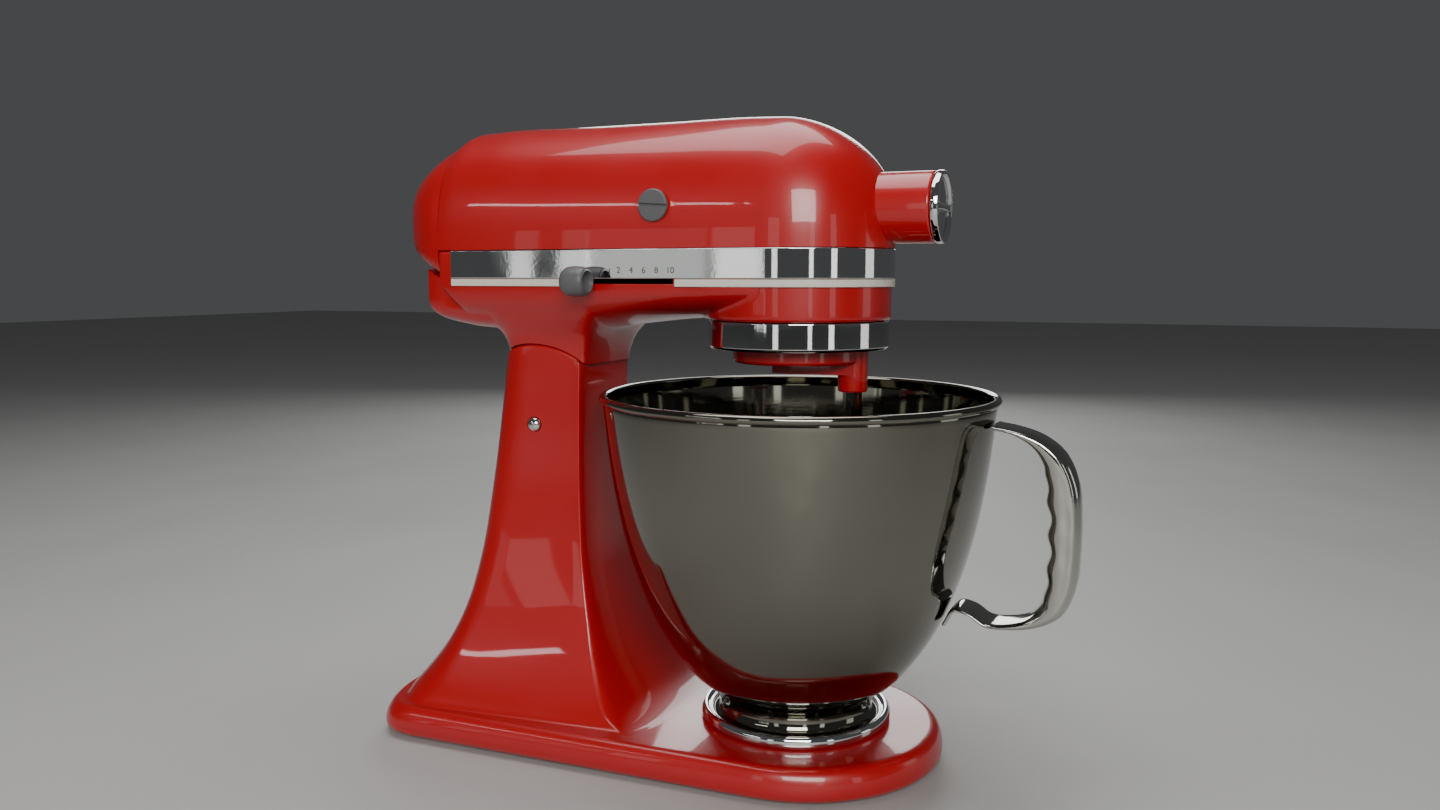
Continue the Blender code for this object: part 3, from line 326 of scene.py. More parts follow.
def dress(made, slot, body, stands_for=(), material=None, edge=0.0, sharp=35, subdivide=0):
    """Finish a piece: modifiers applied, edges eased, material on, riding on its body for its CAD nodes."""
    settle(made)
    if subdivide:
        levels = made.modifiers.new("subdivision", "SUBSURF")
        levels.levels = levels.render_levels = subdivide
        settle(made)
    if edge:
        bevel = made.modifiers.new("edges", "BEVEL")
        bevel.width = edge
        bevel.segments = 2
        bevel.angle_limit = math.radians(40)
        bevel.harden_normals = False
        settle(made)
    made.data.transform(Matrix.Translation(MACHINE))
    made.data.materials.clear()
    made.data.materials.append(MATERIALS[material or slot])
    made.data.shade_smooth()
    made.data.set_sharp_from_angle(angle=math.radians(sharp))
    even = made.modifiers.new("even shading", "WEIGHTED_NORMAL")
    even.keep_sharp = True
    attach(made, body)
    if stands_for:
        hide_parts(*stands_for)
    return made


def piece(name, bm, slot, body, stands_for=(), **options):
    return dress(new_object(name, bm), slot, body, stands_for, **options)


# ---------------------------------------------------------------- pedestal
FOOT_HEIGHT, PLATE_TOP = 0.003, 0.0195
CLAMP_SCREW_HOLE = 0.0023  # radius
FOOT_PLACES = ((0.0, -0.064), (-0.056, 0.0), (0.056, 0.0), (-0.062, 0.190), (0.062, 0.190))
PIN_Y, PIN_Z, PIN_RADIUS = 0.151, 0.182, 0.0042  # the head's hinge pin
NECK_RADIUS = 0.047  # the column's top is an arc about the hinge pin
DRUM_RADIUS, RECESS_HALF = 0.0235, 0.026  # the head's hinge drum, and half the width of its recess
GAP = 0.0003  # left between pieces that touch

# Height, front y, start of the side y, half-width there, squareness, rear half-width, its corner y, rear y.
BASE_OUTLINES = (
    (0.0030, -0.0815, 0.000, 0.0770, 2.0, 0.0845, 0.203, 0.2395),
    (0.0052, -0.0830, 0.000, 0.0786, 2.0, 0.0866, 0.205, 0.2420),
    (0.0120, -0.0828, 0.000, 0.0784, 2.0, 0.0864, 0.205, 0.2416),
    (0.0170, -0.0812, 0.002, 0.0768, 2.0, 0.0842, 0.203, 0.2392),
    (0.0190, -0.0786, 0.003, 0.0744, 2.0, 0.0822, 0.201, 0.2372),
    (0.0195, -0.0755, 0.005, 0.0716, 2.0, 0.0812, 0.200, 0.2362),
)
COLUMN_OUTLINES = (
    (0.0195, 0.0600, 0.072, 0.0688, 2.1, 0.0790, 0.198, 0.2342),
    (0.0200, 0.0660, 0.078, 0.0670, 2.1, 0.0778, 0.197, 0.2330),
    (0.0250, 0.0790, 0.090, 0.0640, 2.3, 0.0742, 0.195, 0.2295),
    (0.0340, 0.0890, 0.098, 0.0590, 2.8, 0.0680, 0.190, 0.2225),
    (0.0480, 0.0985, 0.1055, 0.0522, 3.4, 0.0602, 0.184, 0.2125),
    (0.0700, 0.1080, 0.1135, 0.0440, 4.2, 0.0510, 0.178, 0.2022),
    (0.1000, 0.1165, 0.1210, 0.0368, 5.5, 0.0430, 0.172, 0.1948),
    (0.1400, 0.1212, 0.1250, 0.0320, 7.0, 0.0372, 0.166, 0.1888),
    (0.1850, 0.1222, 0.1258, 0.0300, 8.0, 0.0346, 0.160, 0.1822),
    (0.2400, 0.1215, 0.1250, 0.0290, 8.0, 0.0336, 0.154, 0.1742),
)
OUTLINE_WEIGHTS = (1, 1, 0, 1, 0, 0, 0, 1)
REAR_SQUARENESS = 3.0


def outline(front, side_start, half, squareness, rear_half, rear_corner, rear, inset=0.0, quarter=20, side=10):
    """One closed horizontal outline, from the front centre round by +X to the rear and back."""
    front, half = front + inset, half - inset
    rear, rear_half = rear - inset, rear_half - inset
    right = []
    for i in range(quarter + 1):
        across, along = rounded_power(math.pi / 2 * i / quarter, squareness)
        right.append((half * across, side_start + (front - side_start) * along))
    for i in range(1, side):
        t = i / side
        right.append((half + (rear_half - half) * t, side_start + (rear_corner - side_start) * t))
    for i in range(quarter + 1):
        along, across = rounded_power(math.pi / 2 * i / quarter, REAR_SQUARENESS)
        right.append((rear_half * across, rear_corner + (rear - rear_corner) * along))
    left = [(-x, y) for x, y in reversed(right[1:-1])]
    return right + left


def outline_solid(rows, inset=0.0):
    return loft([[(x, y, z) for x, y in outline(*rest, inset)] for z, *rest in rows])


def column_top(rows, start, radius):
    """Rings that end the column in a rounded edge along the arc about the hinge pin, then rise above it."""
    rows = np.array(rows)
    heights = rows[:, 0]

    def point(j, z, inset):
        row = [float(np.interp(z, heights, rows[:, k])) for k in range(1, 8)]
        return outline(*row, inset)[j]

    count = len(outline(*rows[-1][1:]))
    tops = []
    for j in range(count):
        z = 0.22
        for _ in range(6):
            y = point(j, z, 0)[1]
            z = PIN_Z + math.sqrt(max(0.0, NECK_RADIUS**2 - (y - PIN_Y) ** 2))
        tops.append(z)
    levels = [(t, 0.0, 0.0) for t in (0.35, 0.7, 1.0)]
    levels += [(1.0, radius * math.sin(a), radius * (1 - math.cos(a)))
               for a in (math.radians(15 * k) for k in range(1, 7))]
    rings = []
    for share, rise, inset in levels:
        ring = []
        for j, top in enumerate(tops):
            z = start + (top - radius - start) * share + rise
            ring.append((*point(j, z, inset), z))
        rings.append(ring)
    rings.append([(*point(j, 0.24, radius), 0.24) for j in range(count)])
    return rings


def clamp_screw_places():
    """Centres of the three screws that hold the bowl's clamp plate, about the bowl's axis."""
    radius, first = 0.030, 97
    angles = [math.radians(first + 120 * i) for i in range(3)]
    return [(radius * math.cos(angle), radius * math.sin(angle), 0) for angle in angles]


def make_pedestal():
    wall = 0.0045
    rows = filled(BASE_OUTLINES, 4, OUTLINE_WEIGHTS) + filled(COLUMN_OUTLINES, 6, OUTLINE_WEIGHTS)
    rows = [row for row in rows if row[0] < 0.204]
    rings = [[(x, y, z) for x, y in outline(*rest)] for z, *rest in rows]
    made = new_object("pedestal_casting", loft(rings + column_top(COLUMN_OUTLINES, rows[-1][0], 0.0022)))
    roof = PLATE_TOP - wall
    hollow = [(-0.002, *BASE_OUTLINES[3][1:]), (roof, *BASE_OUTLINES[3][1:])]
    hollow += [(z - wall, *rest) for z, *rest in COLUMN_OUTLINES[1:7]]
    hollow.append((0.146, *COLUMN_OUTLINES[7][1:]))
    above = arc((PIN_Y, PIN_Z), NECK_RADIUS, 5, 175, 90)
    round_drum = arc((PIN_Y, PIN_Z), DRUM_RADIUS + 0.001, 190, 330, 40)
    recess = [*round_drum, (0.2000, 0.1940), (0.20, 0.27), (0.1270, 0.27)]
    cut(made, outline_solid(hollow, wall))
    cut(made, prism([*above, (0.05, 0.19), (0.05, 0.27), (0.25, 0.27), (0.25, 0.19)], -0.06, 0.06, "X"))
    cut(made, prism(recess, -RECESS_HALF, RECESS_HALF, "X"))
    join(made, shape_box((-0.008, 0.1255, 0.201), (0.008, 0.1325, 0.2135)))
    cut(made, moved(cylinder(0.0043, 0.1225, 0.14), (0, 0, 0.2075), (0, 1, 0)))
    cut(made, moved(cylinder(PIN_RADIUS + GAP, -0.05, 0.05), (0, PIN_Y, PIN_Z), (1, 0, 0)))
    cut(made, moved(cylinder(0.0033, 0.152, 0.18, 24), (0, 0.137, 0)))
    for x, y in FOOT_PLACES:
        join(made, moved(cylinder(0.0085, FOOT_HEIGHT, 0.0178 if y < 0.1 else 0.026, 32), (x, y, 0)))
        cut(made, moved(cylinder(0.0033, -0.001, 0.0125, 24), (x, y, 0)))
    for place in clamp_screw_places():
        cut(made, moved(cylinder(CLAMP_SCREW_HOLE, 0.005, 0.03, 24), place))
    dress(made, "red_enamel", "pedestal", ("pedestal",), edge=0.0005)


def make_base_fittings():
    foot = [(0, 0), (0.0060, 0), (0.0066, 0.0004), (0.0078, 0.0004), (0.0085, 0), (0.0095, 0.0010),
            (0.0095, 0.0027), (0.003, 0.0027), (0.003, 0.012), (0, 0.012)]
    for number, (x, y) in enumerate(FOOT_PLACES, 1):
        piece(f"foot_{number}", moved(turned(softened(foot, 0.0004, 2), 48), (x, y, 0)), "black_rubber",
              "pedestal", (f"rubber_foot_{number}",))
    low = PLATE_TOP + GAP
    ring = [(0.018, low), (0.0530, low), (0.0537, low + 0.0020), (0.0533, low + 0.0052), (0.0515, low + 0.0070),
            (0.0498, low + 0.0062), (0.0490, low + 0.0045), (0.0478, low + 0.0050), (0.0470, low + 0.0040),
            (0.0468, low + 0.0015), (0.018, low + 0.0015)]
    made = new_object("clamp_ring", turned(softened(ring, 0.0012, 4), 120))
    for place in clamp_screw_places():
        cut(made, moved(cylinder(CLAMP_SCREW_HOLE, 0.01, 0.03, 24), place))
    dress(made, "chrome", "pedestal", ("bowl_clamp_plate",))
    end = 0.0352
    dome = [(0.0014, 0.0009), (0.0026, 0.0005), (0.0036, -0.0002), (PIN_RADIUS, -0.0010)]
    pin = [(0, -end - 0.001), *[(r, -end - z) for r, z in dome], *[(r, end + z) for r, z in reversed(dome)],
           (0, end + 0.001)]
    piece("pivot_pin", moved(turned(pin, 48), (0, PIN_Y, PIN_Z), (1, 0, 0)), "chrome", "pedestal",
          ("hinge_pin",))


# ---------------------------------------------------------------- bowl
RIM_RADIUS, RIM_Z, BOWL_WALL, BOWL_BOTTOM = 0.110, 0.2041, 0.0015, 0.0362
# Outer radius and height, from the bottom's edge to just under the rim.
BOWL_CURVE = (
    (0.0440, 0.0366), (0.0555, 0.0440), (0.0680, 0.0585), (0.0790, 0.0760), (0.0885, 0.0980),
    (0.0965, 0.1240), (0.1022, 0.1520), (0.1060, 0.1800), (0.1078, 0.1985),
)


def make_bowl():
    outer = filled(BOWL_CURVE, 8)
    inner = [(r - BOWL_WALL, z + 0.0005) for r, z in reversed(outer)]
    rim = arc((RIM_RADIUS - 0.0022, RIM_Z - 0.0022), 0.0022, -95, 165, 16)
    profile = [(0, BOWL_BOTTOM), (0.0380, BOWL_BOTTOM), (0.0420, BOWL_BOTTOM), *outer, *rim, *inner,
               (0.0420, BOWL_BOTTOM + BOWL_WALL), (0.0380, BOWL_BOTTOM + BOWL_WALL), (0, BOWL_BOTTOM + BOWL_WALL)]
    piece("steel_bowl", turned(profile, 160), "polished_steel", "bowl", ("bowl",), sharp=60)
    top = BOWL_BOTTOM - GAP
    outside = filled(((0.0415, top), (0.0408, 0.0320), (0.0412, 0.0280), (0.0430, 0.0248), (0.0462, 0.0236)), 6)
    lip = [(0.0465, 0.0233), (0.0465, 0.0223), (0.0462, 0.0220)]
    inside = filled(((0.0420, 0.0220), (0.0396, 0.0265), (0.0390, 0.0320), (0.0380, top)), 4)
    piece("bowl_pedestal", turned([*outside, *lip, *inside], 120), "polished_steel", "bowl", ("bowl_foot",))


# Along the middle of the handle, from the rim down: y, z, half thickness, half width.
HANDLE_PATH = (
    (-0.1086, 0.1913, 0.0014, 0.0130), (-0.1200, 0.1890, 0.0020, 0.0125), (-0.1310, 0.1838, 0.0040, 0.0118),
    (-0.1385, 0.1760, 0.0062, 0.0112), (-0.1430, 0.1630, 0.0080, 0.0108), (-0.1450, 0.1450, 0.0080, 0.0108),
    (-0.1452, 0.1270, 0.0078, 0.0108), (-0.1442, 0.1120, 0.0076, 0.0108), (-0.1400, 0.0985, 0.0062, 0.0108),
    (-0.1310, 0.0910, 0.0036, 0.0110), (-0.1190, 0.0877, 0.0020, 0.0114), (-0.1075, 0.0875, 0.0016, 0.0118),
    (-0.0985, 0.0925, 0.0014, 0.0120), (-0.0915, 0.0935, 0.0013, 0.0120), (-0.0858, 0.0850, 0.0012, 0.0120),
)
BUMP_LOW, BUMP_HIGH, BUMPS = 0.101, 0.173, 4  # heights that the finger hollows lie between, and how many


def make_handle():
    """The grip swells between four finger hollows on its inner side, with a pressed valley along each flank."""
    path = filled(HANDLE_PATH, 8)
    rings = []
    for i, (y, z, thick, wide) in enumerate(path):
        after, before = path[min(i + 1, len(path) - 1)], path[max(i - 1, 0)]
        ahead = Vector((after[0] - before[0], after[1] - before[1])).normalized()
        across = Vector((ahead.y, -ahead.x))
        share = (z - BUMP_LOW) / (BUMP_HIGH - BUMP_LOW)
        on_grip = 0 < share < 1 and y < -0.125
        fade = math.sin(math.pi * share) ** 0.5 if on_grip else 0.0
        wave = (0.5 - 0.5 * math.cos(2 * math.pi * BUMPS * share)) * fade if on_grip else 0.0
        ring = []
        for k in range(40):
            angle = 2 * math.pi * k / 40
            side = signed_power(math.cos(angle), 0.75) * wide
            out = signed_power(math.sin(angle), 0.75) * thick
            inner = max(0.0, -math.sin(angle))
            out += inner * (0.0022 * wave - 0.0012 * fade)
            valley = math.exp(-(((out / max(thick, 0.001)) - 0.15) / 0.28) ** 2) * fade
            side -= math.copysign(0.0011 * valley * (0.6 + 0.4 * wave), side) if abs(side) > 0.004 else 0.0
            ring.append((side, y + across.x * out, z + across.y * out))
        rings.append(ring)
    made = new_object("grip", loft(rings))
    dress(made, "polished_steel", "bowl", ("bowl_handle",), material="handle_steel", sharp=60)


# ---------------------------------------------------------------- head
HEAD_HALF, BAND_OUTER, SPLIT_Z = 0.051, 0.0522, 0.2824
BAND_LOW, BAND_HIGH, BAND_REAR, COVER_SEAM = 0.2666, 0.2824, 0.1932, 0.2034
SHELL, HEAD_TOP = 0.0038, 0.3535
GEARCASE_RADIUS, GEARCASE_LOW, GEARCASE_BORE = 0.0505, 0.2443, 0.0456
DRIP_RADIUS, DRIP_LOW, ORBIT = 0.0494, 0.2288, 0.0313
MOTOR_Z, BRUSH_Y = 0.305, 0.0629
HUB_Z, HUB_RADIUS, HUB_FACE = 0.3035, 0.0187, -0.0752
LEVER_Y, LEVER_Z, LEVER_TRAVEL = 0.105, 0.2652, 0.050
CORD_INLET = (0.024, 0, 0.2610)

# Pan under the head, front to rear: y, half-width, lowest z.
PAN_SECTIONS = (
    (-0.030, 0.036, 0.2480), (0.000, 0.0498, 0.2460), (0.0500, 0.0507, 0.2447), (0.0580, HEAD_HALF, 0.2442),
    (0.070, HEAD_HALF, 0.2432), (0.095, HEAD_HALF, 0.2404), (0.130, HEAD_HALF, 0.2366),
    (0.165, HEAD_HALF, 0.2362), (0.192, HEAD_HALF, 0.2380), (0.2035, 0.0505, 0.2400),
)
CHIN_HALF = 0.0430  # half-width of the narrower box behind the pan, whose sections follow
CHIN_SECTIONS = (
    (0.160, CHIN_HALF, 0.2362), (0.200, CHIN_HALF, 0.2392), (0.214, 0.0428, 0.2428), (0.2185, 0.0415, 0.2455),
)
PAN_SHOULDER, PAN_SQUARENESS, CHIN_SQUARENESS = 0.2625, 2.3, 5.0
# Sloped deck under the rear cover and slanted end of the pan's sides, as (y, z) lines.
DECK = ((COVER_SEAM - 0.0006, 0.2645), (0.25, 0.2872))
PAN_END = ((0.1780, 0.2340), (0.1780, 0.2200), (0.2500, 0.2200))
# Neck, bottom to top, in the numbers of the pedestal's outlines.
NECK_OUTLINES = (
    (0.2050, 0.1205, 0.1245, 0.0285, 8.0, 0.0336, 0.153, 0.1755),
    (0.2260, 0.1180, 0.1225, 0.0292, 6.0, 0.0340, 0.154, 0.1760),
    (0.2330, 0.1150, 0.1205, 0.0322, 4.6, 0.0358, 0.155, 0.1785),
    (0.2390, 0.1100, 0.1180, 0.0368, 3.8, 0.0395, 0.157, 0.1830),
    (0.2450, 0.1030, 0.1140, 0.0420, 3.2, 0.0438, 0.159, 0.1885),
    (0.2520, 0.0940, 0.1080, 0.0468, 2.8, 0.0476, 0.162, 0.1950),
    (0.2600, 0.0850, 0.1000, 0.0502, 2.6, 0.0504, 0.165, 0.2030),
)


def pan_section(y, half, low, inset=0.0, top=SPLIT_Z, squareness=PAN_SQUARENESS, steps=40):
    """Section across the pan: upright sides above its shoulder, rounded below."""
    half, low = half - inset, low + inset
    under = []
    for i in range(steps + 1):
        angle = math.pi * i / steps
        down, _ = rounded_power(min(angle, math.pi - angle), squareness)
        across = signed_power(math.cos(angle), 2 / squareness)
        under.append((half * across, y, PAN_SHOULDER - (PAN_SHOULDER - low) * down))
    sides = [(half, y, PAN_SHOULDER + (top - PAN_SHOULDER) * t) for t in (1, 0.75, 0.5, 0.25)]
    return [*sides, *under, *[(-x, y, z) for x, _, z in reversed(sides)]]


def pan_hollows():
    """The pan's inside: full width in front, narrower in the box behind, roofed by a deck behind the seam."""
    front = (*PAN_SECTIONS[:-2], (0.1720, HEAD_HALF, 0.2364))
    middle = ((0.1680, CHIN_HALF, 0.2378), (0.1995, CHIN_HALF, 0.2398))
    return (loft([pan_section(*section, SHELL, SPLIT_Z + 0.003) for section in front]),
            loft([pan_section(*section, SHELL, SPLIT_Z + 0.003, CHIN_SQUARENESS) for section in middle]),
            shape_box((-0.0370, 0.1950, 0.2480), (0.0370, 0.2140, 0.2605)))


def remesh(made, size, rounds):
    """Blend a union's creases into cast fillets."""
    voxels = made.modifiers.new("cast", "REMESH")
    voxels.mode = "VOXEL"
    voxels.voxel_size = size
    smoothing = made.modifiers.new("soften", "SMOOTH")
    smoothing.factor = 0.5
    smoothing.iterations = rounds
    settle(made)


def make_lower_housing():
    rows = filled(NECK_OUTLINES, 6, OUTLINE_WEIGHTS)
    made = new_object("lower_casting", outline_solid(rows))
    join(made, loft([pan_section(*section) for section in filled(PAN_SECTIONS, 5)]))
    for low, high in ((-0.06, -CHIN_HALF), (CHIN_HALF, 0.06)):
        cut(made, prism([*PAN_END, *reversed(DECK)], low, high, "X"))
    chin = [pan_section(*section, squareness=CHIN_SQUARENESS) for section in filled(CHIN_SECTIONS, 5)]
    join(made, loft(chin))
    join(made, cylinder(GEARCASE_RADIUS, GEARCASE_LOW, SPLIT_Z, 120))
    settle(made)
    remesh(made, 0.0011, 6)
    slot_front = LEVER_Y - LEVER_TRAVEL - 0.003
    window = shape_box((-0.016, 0.1395, 0.2010), (0.016, 0.162, 0.30))
    lock_slot = shape_box((-0.006, 0.1345, 0.2330), (0.06, 0.1460, 0.2390))
    front, rear = arc((PIN_Y, PIN_Z), 0.0125, 180, 300, 30), arc((PIN_Y, PIN_Z), DRUM_RADIUS, 306, 375, 24)
    drum = [*front, *rear, (0.1715, 0.2235), (0.168, 0.238), (0.1365, 0.238)]
    cut(made, moved(cylinder(NECK_RADIUS + GAP, -0.06, 0.06, 240), (0, PIN_Y, PIN_Z), (1, 0, 0)))
    cut(made, *pan_hollows())
    cut(made, cylinder(GEARCASE_BORE, 0.20, 0.30, 96))
    join(made, prism(drum, -RECESS_HALF + 0.001, RECESS_HALF - 0.001, "X"))
    cut(made, window)
    cut(made, moved(cylinder(0.0045, 0.13, 0.15), (0, 0, 0.2075), (0, 1, 0)))
    cut(made, lock_slot)
    cut(made, moved(cylinder(PIN_RADIUS + GAP, -0.05, 0.05), (0, PIN_Y, PIN_Z), (1, 0, 0)))
    cut(made, prism([*DECK, (0.25, 0.31), (COVER_SEAM - 0.0006, 0.31)], -0.06, 0.06, "X"))
    cut(made, shape_box((-0.06, slot_front, LEVER_Z - 0.0014), (-0.04, LEVER_Y + 0.003, LEVER_Z + 0.0014)))
    cut(made, moved(cylinder(0.0062, 0.205, 0.23), CORD_INLET, (0, 1, 0)))
    dress(made, "red_enamel", "head", ("lower_housing",))


# Upper housing, rear to front: y, half-width, top z.
UPPER_SECTIONS = (
    (COVER_SEAM, 0.0500, 0.3490), (0.1975, 0.0506, 0.3522), (0.185, 0.0512, 0.3534), (0.130, 0.0518, HEAD_TOP),
    (0.070, 0.0518, HEAD_TOP), (0.014, 0.0518, 0.3533), (-0.001, 0.0516, 0.3523), (-0.015, 0.0495, 0.3482),
    (-0.027, 0.0443, 0.3418), (-0.037, 0.0363, 0.3336), (-0.0445, 0.0268, 0.3245), (-0.0495, 0.0158, 0.3140),
    (-0.0516, 0.0060, 0.3040),
)
UPPER_SQUARENESS = 2.5  # of the head's rounded sections


def dome_section(y, half, top, low=SPLIT_Z + GAP, steps=56):
    """Section across the head above the trim band."""
    points = []
    for i in range(steps + 1):
        angle = math.pi * i / steps
        up, _ = rounded_power(min(angle, math.pi - angle), UPPER_SQUARENESS)
        across = signed_power(math.cos(angle), 2 / UPPER_SQUARENESS)
        points.append((half * across, y, low + (top - low) * up))
    return points


def make_upper_housing():
    made = new_object("upper_casting", loft([dome_section(*s) for s in filled(UPPER_SECTIONS, 5)]))
    barrel = [(0, 0.028), (HUB_RADIUS, 0.028), (HUB_RADIUS, 0.0744), (HUB_RADIUS - 0.0008, -HUB_FACE),
              (0, -HUB_FACE)]
    join(made, moved(turned(softened(barrel, 0.0008, 3), 96), (0, 0, HUB_Z), (0, -1, 0)))
    hollow = [(COVER_SEAM + 0.01, 0.0500 - SHELL, 0.3490 - SHELL)]
    hollow += [(y, half - SHELL, top - SHELL) for y, half, top in filled(UPPER_SECTIONS[1:-3], 3)]
    cut(made, loft([dome_section(*s, SPLIT_Z - 0.004, 32) for s in hollow]))
    cut(made, moved(cylinder(0.0152, 0.02, 0.09), (0, 0, HUB_Z), (0, -1, 0)))
    for side in (-1, 1):
        cut(made, moved(cylinder(0.0079, 0.03, 0.06), (0, BRUSH_Y, MOTOR_Z), (side, 0, 0)))
    cut(made, moved(cylinder(0.0033, 0.005, 0.03, 24), (0, -0.062, HUB_Z), (1, 0, 0)))
    dress(made, "red_enamel", "head", ("upper_housing",))


# Rear cover, front to rear: y, half-width, lowest z, z where it is widest, highest z.
REAR_SECTIONS = (
    (COVER_SEAM + GAP, 0.0497, 0.2653, 0.2850, 0.3480), (0.2110, 0.0487, 0.2690, 0.2885, 0.3445),
    (0.2200, 0.0456, 0.2734, 0.2935, 0.3390), (0.2290, 0.0396, 0.2779, 0.2985, 0.3317),
    (0.2355, 0.0316, 0.2814, 0.3010, 0.3243), (0.2395, 0.0222, 0.2860, 0.3010, 0.3162),
    (0.2420, 0.0100, 0.2935, 0.3005, 0.3070),
)


COVER_SQUARENESS = 5.0  # of the rear cover's lower half


def oval_section(y, half, low, widest, high, steps=96):
    """Section across the rear cover, rounded above and below its widest place."""
    points = []
    for i in range(steps):
        angle = 2 * math.pi * i / steps
        squareness = UPPER_SQUARENESS if i <= steps / 2 else COVER_SQUARENESS
        up, _ = rounded_power(angle % math.pi, squareness)
        z = widest + (high - widest) * up if i <= steps / 2 else widest - (widest - low) * up
        points.append((half * signed_power(math.cos(angle), 2 / squareness), y, z))
    return points


def make_rear_cover():
    made = new_object("rear_shell", loft([oval_section(*s) for s in filled(REAR_SECTIONS, 6)]))
    wall = 0.003
    inner = [(COVER_SEAM - 0.01, 0.0467, 0.2683, 0.2860, 0.3450)]
    inner += [(y - wall, half - wall, low + wall, widest, high - wall)
              for y, half, low, widest, high in REAR_SECTIONS[1:-1]]
    cut(made, loft([oval_section(*s) for s in inner]))
    cut(made, moved(cylinder(0.0038, 0.20, 0.25, 24), (0, 0, 0.2900), (0, 1, 0)))
    dress(made, "red_enamel", "head", ("rear_cover",), edge=0.0004)
    screw = [(0, 0.218), (0.002, 0.218), (0.002, 0.2375), (0.0034, 0.2375), (0.0034, 0.2392), (0.0022, 0.2398),
             (0, 0.2398)]
    made = new_object("cover_screw", moved(turned(screw, 32), (0, 0, 0.2900), (0, 1, 0)))
    cut(made, shape_box((-0.0003, 0.2390, 0.2870), (0.0003, 0.2405, 0.2930)))
    dress(made, "plain_steel", "head", ("rear_cover_screw",))


def swept_strip(profile, left_end, right_end, steps=72):
    """(radius, z) points carried round the front of the head, from one side's end to the other's."""
    rings = [[(-r, left_end, z) for r, z in profile], [(-r, left_end / 2, z) for r, z in profile]]
    for i in range(steps + 1):
        angle = math.pi / 2 - math.pi * i / steps
        rings.append([(-r * math.sin(angle), -r * math.cos(angle), z) for r, z in profile])
    rings += [[(r, right_end / 2, z) for r, z in profile], [(r, right_end, z) for r, z in profile]]
    return loft(rings)


def make_trim():
    inner = HEAD_HALF + GAP
    band = [(inner, BAND_LOW), (BAND_OUTER - 0.0004, BAND_LOW), (BAND_OUTER, BAND_LOW + 0.0004),
            (BAND_OUTER, BAND_HIGH - 0.0004), (BAND_OUTER - 0.0004, BAND_HIGH), (inner, BAND_HIGH)]
    piece("bright_band", swept_strip(softened(band, 0.0002, 2), BAND_REAR, BAND_REAR), "chrome", "head",
          ("trim_band",))
    low, high = 0.2624, BAND_LOW - GAP
    stripe = [(inner, low), (BAND_OUTER - 0.0003, low), (BAND_OUTER, low + 0.0003), (BAND_OUTER, high - 0.0003),
              (BAND_OUTER - 0.0003, high), (inner, high)]
    piece("pale_stripe", swept_strip(stripe, 0.0505, BAND_REAR), "cream_stripe", "head", ("trim_stripe",))
    rear = [[(-r, y, z) for r, z in stripe] for y in (0.1110, 0.152, BAND_REAR)]
    piece("pale_stripe_rear", loft(rear), "cream_stripe", "head", ("trim_stripe_rear",))


# Figures of the speed dial: label, y and z of the middle.
DIAL = (("1", 0.0893, 0.2703), ("2", 0.0838, 0.2710), ("4", 0.0762, 0.2710),
        ("6", 0.0687, 0.2710), ("8", 0.0612, 0.2710), ("10", 0.0530, 0.2710))


def make_dial():
    for label, y, z in DIAL:
        text = bpy.data.curves.new("figure", "FONT")
        text.body = label
        text.size = 0.0048
        text.align_x, text.align_y = "CENTER", "CENTER"
        text.extrude = 0.00006
        figure = bpy.data.objects.new("figure", text)
        bpy.context.scene.collection.objects.link(figure)
        turn = Matrix(((0, 0, -1), (-1, 0, 0), (0, 1, 0))).to_4x4()
        figure.matrix_world = Matrix.Translation(Vector((-BAND_OUTER - 0.00004, y, z)) + MACHINE) @ turn
        bpy.context.view_layer.update()
        mesh = bpy.data.meshes.new_from_object(figure.evaluated_get(bpy.context.evaluated_depsgraph_get()))
        mesh.transform(figure.matrix_world)
        bpy.data.objects.remove(figure)
        made = bpy.data.objects.new("dial_" + label, mesh)
        bpy.context.scene.collection.objects.link(made)
        made.data.materials.clear()
        made.data.materials.append(MATERIALS["dial_ink"])
        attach(made, "head")


def make_gearcase_fittings():
    top = GEARCASE_LOW - GAP
    ring = [(DRIP_RADIUS - 0.0060, DRIP_LOW), (DRIP_RADIUS - 0.0012, DRIP_LOW), (DRIP_RADIUS, DRIP_LOW + 0.0012),
            (DRIP_RADIUS, top), (DRIP_RADIUS - 0.0020, top), (DRIP_RADIUS - 0.0020, DRIP_LOW + 0.0015),
            (DRIP_RADIUS - 0.0060, DRIP_LOW + 0.0015)]
    piece("drip_skirt", turned(softened(ring, 0.0008, 4), 144), "chrome", "head", ("drip_ring",))
    bore, sleeve, flange = 0.0034, 0.0060, 0.0085
    grommet = [(bore, 0.2110), (sleeve, 0.2110), (sleeve, 0.2188), (flange, 0.2188), (flange, 0.2203),
               (0.0050, 0.2210), (bore, 0.2210)]
    piece("grommet", moved(turned(softened(grommet, 0.0005, 3), 48), CORD_INLET, (0, 1, 0)), "black_rubber",
          "head", ("cord_grommet",))


